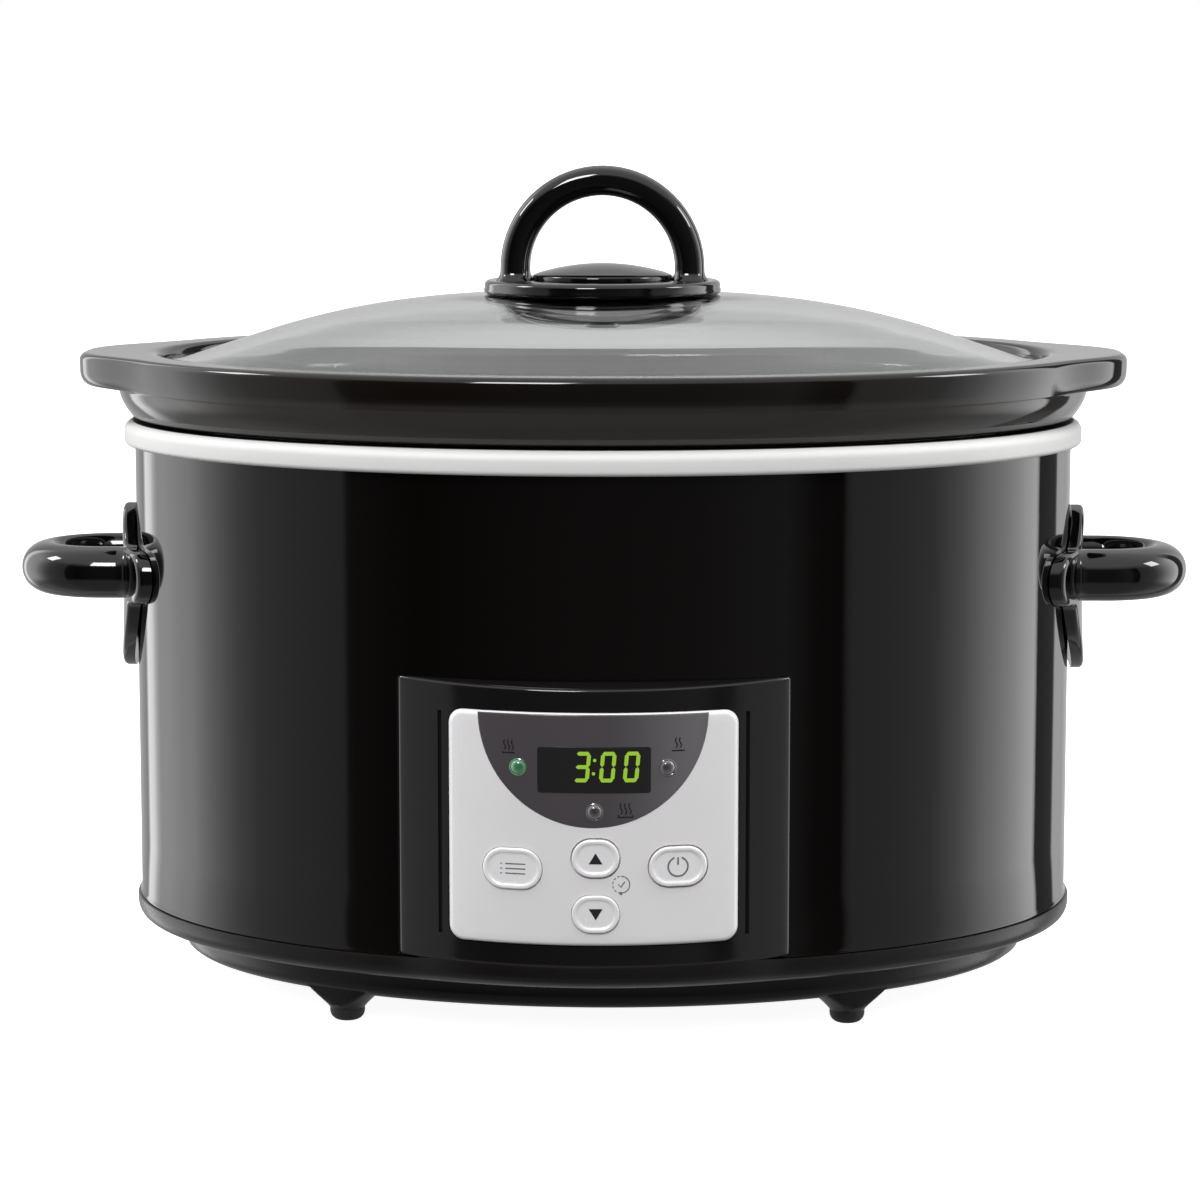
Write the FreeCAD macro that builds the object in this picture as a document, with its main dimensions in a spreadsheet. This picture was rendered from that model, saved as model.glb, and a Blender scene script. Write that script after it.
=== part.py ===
import FreeCAD, Part

import math
import os

import Sketcher
from FreeCAD import Placement, Rotation, Vector

# An oval slow cooker: a painted steel body with an aluminium well, a lift-out
# stoneware crock, a lift-off glass lid and a digital control panel with four keys.
# Origin: on the table, under the middle of the oval. +X right, -Y front, +Z up.

DIMENSIONS = {
    # steel body
    "shell_long": (156.0, "half length of the oval shell"),
    "shell_short": (120.5, "half depth of the oval shell"),
    "shell_bottom": (28.0, "seam between shell and base"),
    "shell_top": (179.2, "top edge of the shell"),
    "shell_wall": (0.8, "steel sheet"),
    "gap": (0.3, "air between neighbouring curved faces"),
    # rim and heating well
    "rim_grow": (3.5, "rim band outside the shell"),
    "rim_top": (187.0, "top of the rim band"),
    "rim_width": (15.0, "rim band, outside to inside"),
    "rim_round": (3.4, "rim band edge radius"),
    "flange_width": (8.3, "well flange beyond the well wall"),
    "well_inset": (15.5, "well inner face inside the shell outline"),
    "well_wall": (0.9, "aluminium sheet"),
    "well_floor": (41.5, "inner floor of the well"),
    "well_round": (7.0, "corner radius of the well floor"),
    # base
    "base_bottom": (9.7, "underside of the base"),
    "base_ledge": (19.6, "underside of the upper tier"),
    "base_lip": (1.3, "upper tier outside the shell"),
    "base_inset": (14.2, "lower tier inside the shell outline"),
    "base_wall": (2.6, "moulded wall"),
    "spigot_top": (33.0, "top of the ring that centres the shell"),
    "boss_top": (32.0, "top of the screw bosses"),
    "boss_radius": (5.5, "screw boss"),
    "boss_reach": (60.0, "screw boss from each centre line"),
    # feet
    "foot_x": (80.0, "foot from the centre line, sideways"),
    "foot_y": (79.0, "foot from the centre line, front to back"),
    "foot_radius": (5.6, "rubber foot"),
    "foot_height": (4.2, "rubber foot under its fairing"),
    "foot_round": (2.6, "foot edge radius"),
    "fairing_radius": (15.0, "foot fairing where it meets the base"),
    # crock
    "crock_inset": (18.5, "crock wall inside the shell outline, top"),
    "crock_taper": (3.5, "further inset near the bottom"),
    "crock_wall": (8.0, "stoneware wall"),
    "crock_bottom": (42.5, "underside of the crock"),
    "crock_floor": (50.0, "inner floor of the crock"),
    "lip_grow": (6.3, "crock lip outside the shell outline"),
    "lip_top": (209.2, "top of the crock lip"),
    "lip_round": (2.2, "outer edge radius of the crock lip"),
    "ledge_inset": (8.5, "lid ledge wall inside the shell outline"),
    "ledge_level": (202.2, "lid ledge"),
    "lug_reach": (172.2, "tip of a crock lug"),
    "lug_half": (34.0, "half width of a crock lug"),
    "lug_bottom": (198.4, "underside of a crock lug"),
    "lug_soft": (4.6, "edge radius of a crock lug"),
    "lug_round": (21.0, "corner radius of a crock lug"),
    # lid
    "lid_long": (146.0, "half length of the lid"),
    "lid_ratio": (0.755, "lid depth over lid length"),
    "lid_edge": (206.4, "top of the lid edge"),
    "lid_crown": (227.9, "flat top of the lid"),
    "lid_glass": (4.0, "glass thickness"),
    # knob
    "knob_flange": (39.5, "radius of the knob flange"),
    "knob_base": (228.1, "underside of the knob flange"),
    "knob_seat": (232.8, "top of the knob flange"),
    "knob_centre": (236.6, "centre of the arch"),
    "knob_reach": (29.0, "centre line radius of the arch"),
    "knob_thick": (5.0, "half thickness of the arch"),
    "knob_deep": (7.6, "half depth of the arch"),
    "cap_radius": (23.2, "cap between the legs of the arch"),
    "cap_top": (238.3, "top of the cap"),
    "washer_radius": (33.8, "washer under the glass"),
    # control housing
    "panel_axis": (-27.0, "centre of the panel curve, front to back"),
    "panel_curve": (104.0, "radius of the housing front"),
    "housing_half": (61.1, "half width of the housing"),
    "housing_bottom": (28.4, "underside of the housing"),
    "housing_top": (117.4, "top of the housing at the shell"),
    "housing_front_top": (115.0, "top of the housing in front of its face"),
    "housing_wall": (2.2, "moulded wall"),
    "plate_half": (44.4, "half width of the face plate"),
    "plate_bottom": (36.0, "bottom of the face plate"),
    "plate_top": (108.0, "top of the face plate"),
    "plate_corner": (4.5, "corner radius of the face plate"),
    "plate_proud": (1.2, "face plate in front of the housing"),
    "plate_thick": (2.0, "face plate"),
    "lens_radius": (35.3, "half disc lens"),
    "lens_thick": (0.9, "lens"),
    "window_half": (17.3, "half width of the display window"),
    "window_bottom": (83.6, "bottom of the display window"),
    "window_top": (97.8, "top of the display window"),
    "board_front": (-121.3, "front of the control board"),
    "board_thick": (1.6, "circuit board"),
    "board_half": (37.5, "half width of the control board"),
    "led_radius": (2.4, "indicator lamp"),
    "key_proud": (0.8, "key in front of the face plate"),
    "key_thick": (2.4, "key cap"),
    "key_gap": (0.35, "air round a key"),
    # side handles
    "handle_level": (136.6, "middle of the handles"),
    "handle_tip": (188.5, "centre line of the handle at its tip"),
    "handle_arm": (22.0, "centre line of an arm from the middle"),
    "handle_thick": (7.0, "half thickness of the handle, in plan"),
    "handle_tall": (8.6, "half height of the handle"),
    "escutcheon": (4.2, "handle plate thickness"),
    # cord entry
    "gland_level": (45.0, "height of the cord gland"),
    "gland_bore": (3.75, "half width of the cord hole"),
    "gland_end": (133.0, "outer end of the gland"),
    # hardware
    "screw_shank": (1.7, "machine screw"),
    "screw_head": (3.4, "machine screw head"),
    "stud_radius": (2.5, "centre stud"),
}

# name: centre x, centre z, half width, half height of each key
KEYS = {
    "menu": (-24.6, 59.7, 9.0, 6.2),
    "up": (0.9, 63.4, 7.1, 5.7),
    "down": (0.9, 46.1, 7.2, 5.7),
    "power": (26.0, 60.5, 8.7, 6.0),
}
# name: x, z of each indicator lamp
LAMPS = {"low": (-22.8, 91.2), "high": (22.8, 91.2), "warm": (0.6, 77.8)}

doc = FreeCAD.newDocument("SlowCooker")
dims = doc.addObject("Spreadsheet::Sheet", "dims")
nodes = []


def fill_sheet():
    for row, (alias, (value, note)) in enumerate(DIMENSIONS.items(), start=1):
        dims.set("A%d" % row, alias)
        dims.set("B%d" % row, str(value))
        dims.set("C%d" % row, note)
        dims.setAlias("B%d" % row, alias)
    doc.recompute()


def value(expression):
    """The number that an expression on the sheet gives now."""
    if isinstance(expression, (int, float)):
        return float(expression)
    result = dims.evalExpression(expression.replace("dims.", ""))
    return float(getattr(result, "Value", result))


def bind(thing, **sizes):
    """Bind each property to an expression on the sheet."""
    for name, expression in sizes.items():
        thing.setExpression(name, str(expression))


def place(thing, x=0, y=0, z=0, rotation=None):
    if rotation:
        thing.Placement = Placement(Vector(), rotation)
    for axis, expression in (("x", x), ("y", y), ("z", z)):
        thing.setExpression(".Placement.Base." + axis, str(expression))
    return thing


def node(thing, label):
    """Name a finished sub-part."""
    thing.Label = label
    nodes.append(thing)
    return thing


# ---- Part workbench helpers ----

def box(x, y, z):
    """A box from three (low, high) pairs of expressions."""
    solid = doc.addObject("Part::Box", "Block")
    bind(solid, Length="(%s) - (%s)" % (x[1], x[0]), Width="(%s) - (%s)" % (y[1], y[0]),
         Height="(%s) - (%s)" % (z[1], z[0]))
    return place(solid, x[0], y[0], z[0])


TURNS = {
    "z": Rotation(),
    "x": Rotation(Vector(0, 1, 0), 90),
    "y": Rotation(Vector(1, 0, 0), -90),
}


def cylinder(radius, length, at, along="z"):
    """A cylinder that starts at a point and runs along +X, +Y or +Z."""
    solid = doc.addObject("Part::Cylinder", "Round")
    bind(solid, Radius=radius, Height=length)
    return place(solid, at[0], at[1], at[2], TURNS[along])


def cone(bottom, top, height, at):
    solid = doc.addObject("Part::Cone", "Taper")
    bind(solid, Radius1=bottom, Radius2=top, Height=height)
    return place(solid, *at)


def cut(base, *tools):
    """Take the tools away from the base."""
    solid = doc.addObject("Part::Cut", "Cut")
    solid.Base = base
    solid.Tool = tools[0] if len(tools) == 1 else fuse(*tools)
    return solid


def fuse(*solids):
    joined = doc.addObject("Part::MultiFuse", "Fuse")
    joined.Shapes = list(solids)
    return joined


def common(*solids):
    shared = doc.addObject("Part::MultiCommon", "Common")
    shared.Shapes = list(solids)
    return shared


def group(label, solids):
    """Separate like solids that share one node."""
    bundle = doc.addObject("Part::Compound", "Group")
    bundle.Links = list(solids)
    return node(bundle, label)


def ellipse(half_long, half_short, level):
    ring = doc.addObject("Part::Ellipse", "Oval")
    bind(ring, MajorRadius=half_long, MinorRadius=half_short)
    return place(ring, 0, 0, level)


def loft(sections, ruled=True):
    solid = doc.addObject("Part::Loft", "Loft")
    solid.Sections = sections
    solid.Solid = True
    solid.Ruled = ruled
    return solid


def oval(levels):
    """A solid through ovals that run outside the shell outline by grow, at each level."""
    return loft([ellipse("dims.shell_long + (%s)" % grow, "dims.shell_short + (%s)" % grow, level)
                 for level, grow in levels])


def oval_ring(bottom, top, outside, inside):
    """A straight oval wall between two offsets of the shell outline."""
    return cut(oval([(bottom, outside), (top, outside)]),
               oval([("(%s) - 1" % bottom, inside), ("(%s) + 1" % top, inside)]))


def corner(level, grow, radius, start, steps=4):
    """Levels round a quarter circle about (level, grow), from a start angle in degrees."""
    points = []
    for step in range(steps + 1):
        angle = math.radians(start + 90.0 * step / steps)
        points.append(("(%s) + (%s) * %.5f" % (level, radius, math.sin(angle)),
                       "(%s) + (%s) * %.5f" % (grow, radius, math.cos(angle))))
    return points


# ---- PartDesign helpers ----

def origin_plane(body, role):
    return next(item for item in body.Origin.OriginFeatures if item.Role == role)


def sketch_on(body, role):
    sketch = body.newObject("Sketcher::SketchObject", body.Name + "_sketch")
    sketch.AttachmentSupport = [(origin_plane(body, role), "")]
    sketch.MapMode = "FlatFace"
    return sketch


def outline(sketch, points):
    """A closed polygon whose corners are bound to pairs of expressions."""
    spots = [Vector(value(x), value(y), 0) for x, y in points]
    for first, second in zip(spots, spots[1:] + spots[:1]):
        sketch.addGeometry(Part.LineSegment(first, second), False)
    count = len(points)
    for index in range(count):
        sketch.addConstraint(Sketcher.Constraint("Coincident", index, 2, (index + 1) % count, 1))
    for index, (x, y) in enumerate(points):
        for kind, expression in (("DistanceX", x), ("DistanceY", y)):
            number = sketch.addConstraint(
                Sketcher.Constraint(kind, -1, 1, index, 1, value(expression)))
            sketch.setExpression("Constraints[%d]" % number, str(expression))
    return sketch


def turned(name, points):
    """A body turned about Z from (radius, height) corners."""
    body = doc.addObject("PartDesign::Body", name)
    sketch = outline(sketch_on(body, "XZ_Plane"), points)
    feature = body.newObject("PartDesign::Revolution", name + "_turn")
    feature.Profile = sketch
    feature.ReferenceAxis = (sketch, ["V_Axis"])
    feature.Angle = 360
    return body


def stadium(name, key, grow, back, thick):
    """A round-ended outline seen from the front: a key's own outline, grown all round."""
    x, z, wide, tall = key
    return slab(name, ("%s - %s - %s" % (x, wide, grow), "%s + %s + %s" % (x, wide, grow)),
                ("%s - %s - %s" % (z, tall, grow), "%s + %s + %s" % (z, tall, grow)),
                back, thick, "%s + %s - 0.05" % (tall, grow))


def slab(name, x, z, back, thick, corner_radius):
    """A body with a rounded rectangle outline seen from the front, its back at BACK."""
    body = doc.addObject("PartDesign::Body", name)
    sketch = outline(sketch_on(body, "XZ_Plane"),
                     [(x[0], z[0]), (x[1], z[0]), (x[1], z[1]), (x[0], z[1])])
    pad = body.newObject("PartDesign::Pad", name + "_pad")
    pad.Profile = sketch
    bind(pad, Length=thick)
    doc.recompute()
    upright = ["Edge%d" % (number + 1) for number, edge in enumerate(pad.Shape.Edges)
               if abs(edge.tangentAt(edge.FirstParameter).y) > 0.99]
    rounding = body.newObject("PartDesign::Fillet", name + "_round")
    rounding.Base = (pad, upright)
    bind(rounding, Radius=corner_radius)
    return place(body, 0, back, 0)


# ---- base ----

FEET = [(side, end) for end in (-1, 1) for side in (-1, 1)]
PANEL_AXIS = ("0", "dims.panel_axis", "0")


def four(x, y):
    """The four points (+-x, +-y)."""
    return [("%d * (%s)" % (side, x), "%d * (%s)" % (end, y)) for side, end in FEET]


def base_housing():
    inset = "dims.base_inset"
    outside = oval([("dims.base_bottom", "-%s - 4" % inset), ("dims.base_bottom + 1.2", "-%s - 1.2" % inset),
                    ("dims.base_bottom + 4", "-" + inset), ("dims.base_ledge", "-%s + 0.4" % inset),
                    ("dims.base_ledge + 0.4", "-2.4"), ("dims.base_ledge + 2.6", "dims.base_lip - 0.2"),
                    ("dims.base_ledge + 3.4", "dims.base_lip"), ("dims.shell_bottom", "dims.base_lip")])
    chin = base_chin()
    spigot = oval([("dims.base_ledge + 3", "-dims.shell_wall - dims.gap"),
                   ("dims.spigot_top", "-dims.shell_wall - dims.gap")])
    hollow = oval([("dims.base_bottom + dims.base_wall", "-%s - dims.base_wall - 0.4" % inset),
                   ("dims.base_ledge + 2.9", "-%s - dims.base_wall + 0.4" % inset),
                   ("dims.base_ledge + 3.3", "-3.2"), ("dims.spigot_top + 1", "-3.2")])
    tray = cut(fuse(outside, chin, spigot), hollow)
    solids = [tray]
    for x, y in four("dims.foot_x", "dims.foot_y"):
        fairing = cone("dims.foot_radius + 0.8", "dims.fairing_radius", "8.3", (x, y, "dims.foot_height"))
        gusset = oval([("dims.foot_height - 1", "-%s - 0.8" % inset), ("dims.base_bottom + 4", "-%s - 0.8" % inset)])
        solids.append(common(fairing, gusset))
    floor = "dims.base_bottom + 0.5"
    for x, y in four("dims.boss_reach", "dims.boss_reach"):
        solids.append(cylinder("dims.boss_radius", "dims.boss_top - (%s)" % floor, (x, y, floor)))
    solids.append(cylinder("10", "dims.boss_top - 8 - (%s)" % floor, ("0", "0", floor)))
    for x, y in BOARD_POSTS:
        solids.append(cylinder("3", "%s - (%s)" % (POWER_LEVEL, floor), (x, y, floor)))
    tools = []
    for x, y in four("dims.boss_reach", "dims.boss_reach"):
        tools.append(cylinder("dims.screw_shank + 0.2", "40", (x, y, "0")))
        tools.append(cylinder("dims.screw_head + 0.5", "9", (x, y, "dims.base_bottom - 1")))
    tools.append(cylinder("dims.stud_radius + 0.4", "40", ("0", "0", "0")))
    tools.append(cylinder("7", "8", ("0", "0", "dims.base_bottom - 1")))
    for x, y in four("dims.foot_x", "dims.foot_y"):
        tools.append(cylinder("3.2", "6", (x, y, "dims.foot_height - 1")))
    tools += vent_slots()
    node(cut(fuse(*solids), *tools), "base_housing")


def base_chin():
    """The part of the base that steps forward under the control housing."""
    block = common(box(("-dims.housing_half", "dims.housing_half"), ("-140", "-100"),
                       ("dims.base_ledge + 1", "dims.shell_bottom")),
                   cylinder("dims.panel_curve - 1", "60", PANEL_AXIS))
    slope = box(("0", "160"), ("0", "60"), ("0", "30"))
    place(slope, "-80", "dims.panel_axis - dims.panel_curve + 21", "dims.shell_bottom - 15.5",
          Rotation(Vector(1, 0, 0), 146))
    return cut(block, slope)


def vent_slots():
    """Two rows of slots through the floor of the base."""
    slots = []
    for side in (-1, 1):
        for column in range(5):
            x = 88 + 8 * column if side > 0 else -91 - 8 * column
            slots.append(box((str(x), "%d + 3" % x), ("-14", "14"), ("dims.base_bottom - 1", "dims.base_bottom + 4")))
    return slots


def feet():
    for (side, end), name in zip(FEET, ("front_left", "front_right", "rear_left", "rear_right")):
        sole = "dims.foot_radius - dims.foot_round"
        points = [("0", "0"), (sole, "0"),
                  ("dims.foot_radius - dims.foot_round * 0.293", "dims.foot_round * 0.293"),
                  ("dims.foot_radius", "dims.foot_round"), ("dims.foot_radius", "dims.foot_height"),
                  ("2.9", "dims.foot_height"), ("2.9", "dims.foot_height + 4.5"), ("0", "dims.foot_height + 4.5")]
        foot = turned("foot_" + name, points)
        place(foot, "%d * dims.foot_x" % side, "%d * dims.foot_y" % end, "0")
        node(foot, "foot_" + name)


def screw(name, head, head_high, shank, length):
    """A pan head screw that stands on its head, point up."""
    return turned(name, [("0", "0"), ("(%s) * 0.7" % head, "0"), (head, "(%s) * 0.4" % head_high),
                         (head, head_high), (shank, head_high), (shank, "%s + %s" % (head_high, length)),
                         ("0", "%s + %s" % (head_high, length))])


def base_screws():
    screws = []
    for number, (x, y) in enumerate(four("dims.boss_reach", "dims.boss_reach")):
        piece = screw("base_screw_%d" % number, "dims.screw_head", "2.4", "dims.screw_shank", "17")
        screws.append(place(piece, x, y, "dims.base_bottom + 8 - 2.4"))
    group("base_screws", screws)


# ---- shell, rim, well, heater ----

def outer_shell():
    wall = oval_ring("dims.shell_bottom", "dims.shell_top", "0", "-dims.shell_wall")
    window = box(("-50", "50"), ("-130", "-90"), ("37", "109"))
    holes = [cylinder("2.4", "400", ("-200", arm, "dims.handle_level"), "x")
             for arm in ("-dims.handle_arm", "dims.handle_arm")]
    holes.append(cylinder("6.4", "60", ("0", "90", "dims.gland_level"), "y"))
    node(cut(wall, window, *holes), "outer_shell")


def rim_band():
    radius = "dims.rim_round"
    lower = "dims.shell_top"
    levels = [(lower, "dims.rim_grow - 1.6"), ("%s + 0.5" % lower, "dims.rim_grow - 0.5"),
              ("%s + 1.6" % lower, "dims.rim_grow")]
    levels += corner("dims.rim_top - " + radius, "dims.rim_grow - " + radius, radius, 0)
    inside = "dims.rim_grow - dims.rim_width"
    hole = oval([("dims.shell_top - 1", inside), ("dims.rim_top + 1", inside)])
    seat_grow = "-dims.well_inset + dims.well_wall + dims.flange_width + dims.gap"
    seat = oval([("dims.rim_top - dims.well_wall", seat_grow), ("dims.rim_top + 1", seat_grow)])
    node(cut(oval(levels), hole, seat), "rim_band")


def tub(top, grow, bottom, radius):
    """An oval tub shape with a rounded floor edge."""
    inner = "(%s) - (%s)" % (grow, radius)
    return oval(corner("(%s) + (%s)" % (bottom, radius), inner, radius, -90) + [(top, grow)])


def heating_well():
    outside = tub("dims.rim_top", "-dims.well_inset + dims.well_wall", "dims.well_floor - dims.well_wall",
                  "dims.well_round")
    flange_grow = "-dims.well_inset + dims.well_wall + dims.flange_width"
    flange = oval([("dims.rim_top - dims.well_wall", flange_grow), ("dims.rim_top", flange_grow)])
    inside = tub("dims.rim_top + 1", "-dims.well_inset", "dims.well_floor", "dims.well_round - dims.well_wall")
    node(cut(fuse(outside, flange), inside), "heating_well")


def heater_band():
    inner = "-dims.well_inset + dims.well_wall + dims.gap"
    band = oval_ring("58", "112", inner + " + 2", inner)
    split = box(("-4", "4"), ("90", "120"), ("50", "120"))
    tabs = [box(x, ("106.6", "117"), ("62", "108")) for x in (("-5.6", "-4"), ("4", "5.6"))]
    holes = [cylinder("1.8", "40", ("-20", "113.3", level), "x") for level in ("72", "98")]
    node(cut(fuse(cut(band, split), *tabs), *holes), "heater_band")


def clamp_bolts():
    bolts = []
    for number, level in enumerate(("72", "98")):
        bolt = screw("clamp_bolt_%d" % number, "2.8", "1.8", "1.5", "15")
        place(bolt, "-7.4", "113.3", level, TURNS["x"])
        bolts.append(bolt)
    group("heater_clamp_bolts", bolts)


def heat_shield():
    plate = oval([("dims.boss_top", "-dims.well_inset - 2"), ("dims.boss_top + 0.8", "-dims.well_inset - 2")])
    holes = [cylinder("dims.screw_shank + 0.15", "4", (x, y, "dims.boss_top - 1"))
             for x, y in four("dims.boss_reach", "dims.boss_reach")]
    holes.append(cylinder("dims.stud_radius + 0.3", "4", ("0", "0", "dims.boss_top - 1")))
    holes.append(box(("-30", "30"), ("-90", "-70"), ("dims.boss_top - 1", "dims.boss_top + 2")))
    node(cut(plate, *holes), "heat_shield")


def centre_stud():
    top = "dims.well_floor - dims.well_wall"
    stud = turned("centre_stud", [("0", "12.5"), ("dims.stud_radius", "12.5"), ("dims.stud_radius", "%s - 2" % top),
                                  ("6", "%s - 2" % top), ("6", top), ("0", top)])
    node(stud, "centre_stud")
    seat = "dims.base_bottom + 7"
    blank = doc.addObject("Part::Prism", "Hexagon")
    blank.Polygon = 6
    bind(blank, Circumradius="4.6", Height="3.4")
    place(blank, "0", "0", "%s - 3.4" % seat)
    node(cut(blank, cylinder("dims.stud_radius + 0.1", "10", ("0", "0", "10"))), "stud_nut")


def sensor():
    shelf = "dims.boss_top + 0.8"
    cup = turned("sensor_clip", [("0", "0"), ("7.4", "0"), ("7.4", "4"), ("6.4", "4"), ("6.4", "1"), ("0", "1")])
    node(place(cup, "34", "0", shelf), "sensor_clip")
    button = turned("temperature_sensor", [("0", "0"), ("6", "0"), ("6", "4.6"), ("4", "6.2"), ("0", "6.2")])
    node(place(button, "34", "0", "%s + 1.1" % shelf), "temperature_sensor")


def thermal_fuse():
    level = "dims.well_floor - dims.well_wall - 2.3"
    body = cylinder("2", "12", ("-40", "0", level), "x")
    leads = cylinder("0.5", "30", ("-49", "0", level), "x")
    node(fuse(body, leads), "thermal_fuse")
    block = box(("-37", "-31"), ("-5", "5"), ("dims.boss_top + 0.8", "dims.well_floor - dims.well_wall - 0.1"))
    node(cut(block, cylinder("2.1", "20", ("-44", "0", level), "x")), "fuse_clip")


# ---- power board in the base ----

POWER_LEVEL = "dims.base_bottom + dims.base_wall + 3"
BOARD_POSTS = [(x, y) for x in ("-33", "33") for y in ("-92", "-56")]


def power_board():
    top = "(%s) + dims.board_thick" % POWER_LEVEL
    board = box(("-38", "38"), ("-97", "-51"), (POWER_LEVEL, top))
    holes = [cylinder("1.6", "6", (x, y, "(%s) - 1" % POWER_LEVEL)) for x, y in BOARD_POSTS]
    node(cut(board, *holes), "power_board")
    parts = {
        "power_relay": ((-26, -7), (-84, -69), 13.0),
        "filter_capacitor": ((-3, 15), (-91, -82), 12.0),
        "transformer": ((-4, 18), (-78, -58), 13.5),
        "terminal_block": ((22, 30), (-86, -62), 10.0),
    }
    for name, (x, y, high) in parts.items():
        body = box([str(v) for v in x], [str(v) for v in y], (top, "(%s) + %s" % (top, high)))
        edges = doc.addObject("Part::Fillet", "Soft")
        edges.Base = body
        doc.recompute()
        upright = [number + 1 for number, edge in enumerate(body.Shape.Edges)
                   if abs(edge.tangentAt(edge.FirstParameter).z) > 0.99]
        edges.Edges = [(number, 1.0, 1.0) for number in upright]
        node(edges, name)


# ---- control panel ----

def panel_ring(outer, inner):
    """A thick curved sheet on the panel's axis."""
    return cut(cylinder(outer, "150", PANEL_AXIS), cylinder(inner, "152", ("0", "dims.panel_axis", "-1")))


def control_housing():
    half = "dims.housing_half"
    block = common(box(("-" + half, half), ("-140", "-100"), ("dims.housing_bottom", "dims.housing_top")),
                   cylinder("dims.panel_curve", "150", PANEL_AXIS))
    slope = box(("0", "160"), ("0", "60"), ("0", "20"))
    place(slope, "-80", "-140", "dims.housing_front_top", Rotation(Vector(1, 0, 0), 4))
    cavity = common(box(("-%s + dims.housing_wall" % half, "%s - dims.housing_wall" % half), ("-140", "-80"),
                        ("dims.housing_bottom + dims.housing_wall", "dims.housing_top - 6.5")),
                    cylinder("dims.panel_curve - dims.housing_wall", "150", PANEL_AXIS))
    aperture = box(("-39.5", "39.5"), ("-140", "-100"), ("38.8", "104.2"))
    recess = cut(slab("plate_recess", ("-dims.plate_half - 0.25", "dims.plate_half + 0.25"),
                      ("dims.plate_bottom - 0.25", "dims.plate_top + 0.25"), "-100", "50",
                      "dims.plate_corner + 0.25"),
                 cylinder("dims.panel_curve + dims.plate_proud - dims.plate_thick - 0.1", "150", PANEL_AXIS))
    grooves = [cut(box(x, ("-140", "-100"), ("37.5", "107")), cylinder("dims.panel_curve - 1.4", "150", PANEL_AXIS))
               for x in (("-47.9", "-46.7"), ("46.7", "47.9"))]
    shell = oval([("0", "dims.gap"), ("150", "dims.gap")])
    node(cut(block, slope, cavity, aperture, recess, shell, *grooves), "control_housing")


def lamp_holes(radius):
    return [cylinder(radius, "60", (str(x), "-150", str(z)), "y") for x, z in LAMPS.values()]


def face_plate():
    outer = "dims.panel_curve + dims.plate_proud"
    blank = slab("plate_blank", ("-dims.plate_half", "dims.plate_half"), ("dims.plate_bottom", "dims.plate_top"),
                 "-100", "50", "dims.plate_corner")
    sheet = common(blank, panel_ring(outer, outer + " - dims.plate_thick"))
    bed = cut(cylinder("dims.lens_radius + 0.15", "60", ("0", "-160", "dims.plate_top"), "y"),
              cylinder("%s - dims.lens_thick - 0.1" % outer, "160", PANEL_AXIS),
              box(("-60", "60"), ("-170", "-90"), ("dims.plate_top - 0.7", "160")))
    window = box(("-dims.window_half", "dims.window_half"), ("-150", "-100"),
                 ("dims.window_bottom", "dims.window_top"))
    keys = [stadium("hole_" + name, key, "dims.key_gap", "-100", "50") for name, key in KEYS.items()]
    node(cut(sheet, bed, window, *keys, *lamp_holes("dims.led_radius + 0.3")), "face_plate")


def display_lens():
    outer = "dims.panel_curve + dims.plate_proud + 0.1"
    disc = cylinder("dims.lens_radius", "60", ("0", "-160", "dims.plate_top"), "y")
    flat = box(("-60", "60"), ("-170", "-90"), ("40", "dims.plate_top - 0.9"))
    sheet = common(disc, flat, panel_ring(outer, outer + " - dims.lens_thick"))
    node(cut(sheet, *lamp_holes("dims.led_radius + 0.25")), "display_lens")


def display_module():
    block = box(("-dims.window_half + 0.4", "dims.window_half - 0.4"), ("-128.2", "dims.board_front"),
                ("dims.window_bottom + 0.4", "dims.window_top - 0.4"))
    node(block, "display_module")


def lamps():
    for name, (x, z) in LAMPS.items():
        front = math.sqrt((value("dims.panel_curve + dims.plate_proud") ** 2) - x * x)
        long = value("dims.board_front") - (value("dims.panel_axis") - front)
        lamp = turned("indicator_lamp_" + name, [
            ("0", "0"), ("dims.led_radius + 0.5", "0"), ("dims.led_radius + 0.5", "1"), ("dims.led_radius", "1"),
            ("dims.led_radius", "%.3f - 1.2" % long), ("dims.led_radius * 0.87", "%.3f - 0.2" % long),
            ("dims.led_radius * 0.5", "%.3f + 0.5" % long), ("0", "%.3f + 0.7" % long)])
        place(lamp, str(x), "dims.board_front", str(z), Rotation(Vector(1, 0, 0), 90))
        node(lamp, "indicator_lamp_" + name)


BOARD_SCREWS = [(x, z) for x in (-33.5, 33.5) for z in (46, 98.5)]


def control_board():
    board = box(("-dims.board_half", "dims.board_half"), ("dims.board_front", "dims.board_front + dims.board_thick"),
                ("42", "102"))
    holes = [cylinder("1.4", "10", (str(x), "-126", str(z)), "y") for x, z in BOARD_SCREWS]
    node(cut(board, *holes), "control_board")
    screws = []
    for number, (x, z) in enumerate(BOARD_SCREWS):
        piece = screw("board_screw_%d" % number, "2.2", "1.4", "1.2", "3.4")
        place(piece, str(x), "dims.board_front + dims.board_thick + 1.4", str(z), Rotation(Vector(1, 0, 0), 90))
        screws.append(piece)
    group("board_screws", screws)
    switches = []
    for x, z, wide, tall in KEYS.values():
        can = box((str(x - 3), str(x + 3)), ("dims.board_front - 3.2", "dims.board_front"), (str(z - 3), str(z + 3)))
        nib = cylinder("1.6", "0.8", (str(x), "dims.board_front - 4", str(z)), "y")
        switches.append(fuse(can, nib))
    group("key_switches", switches)


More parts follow.
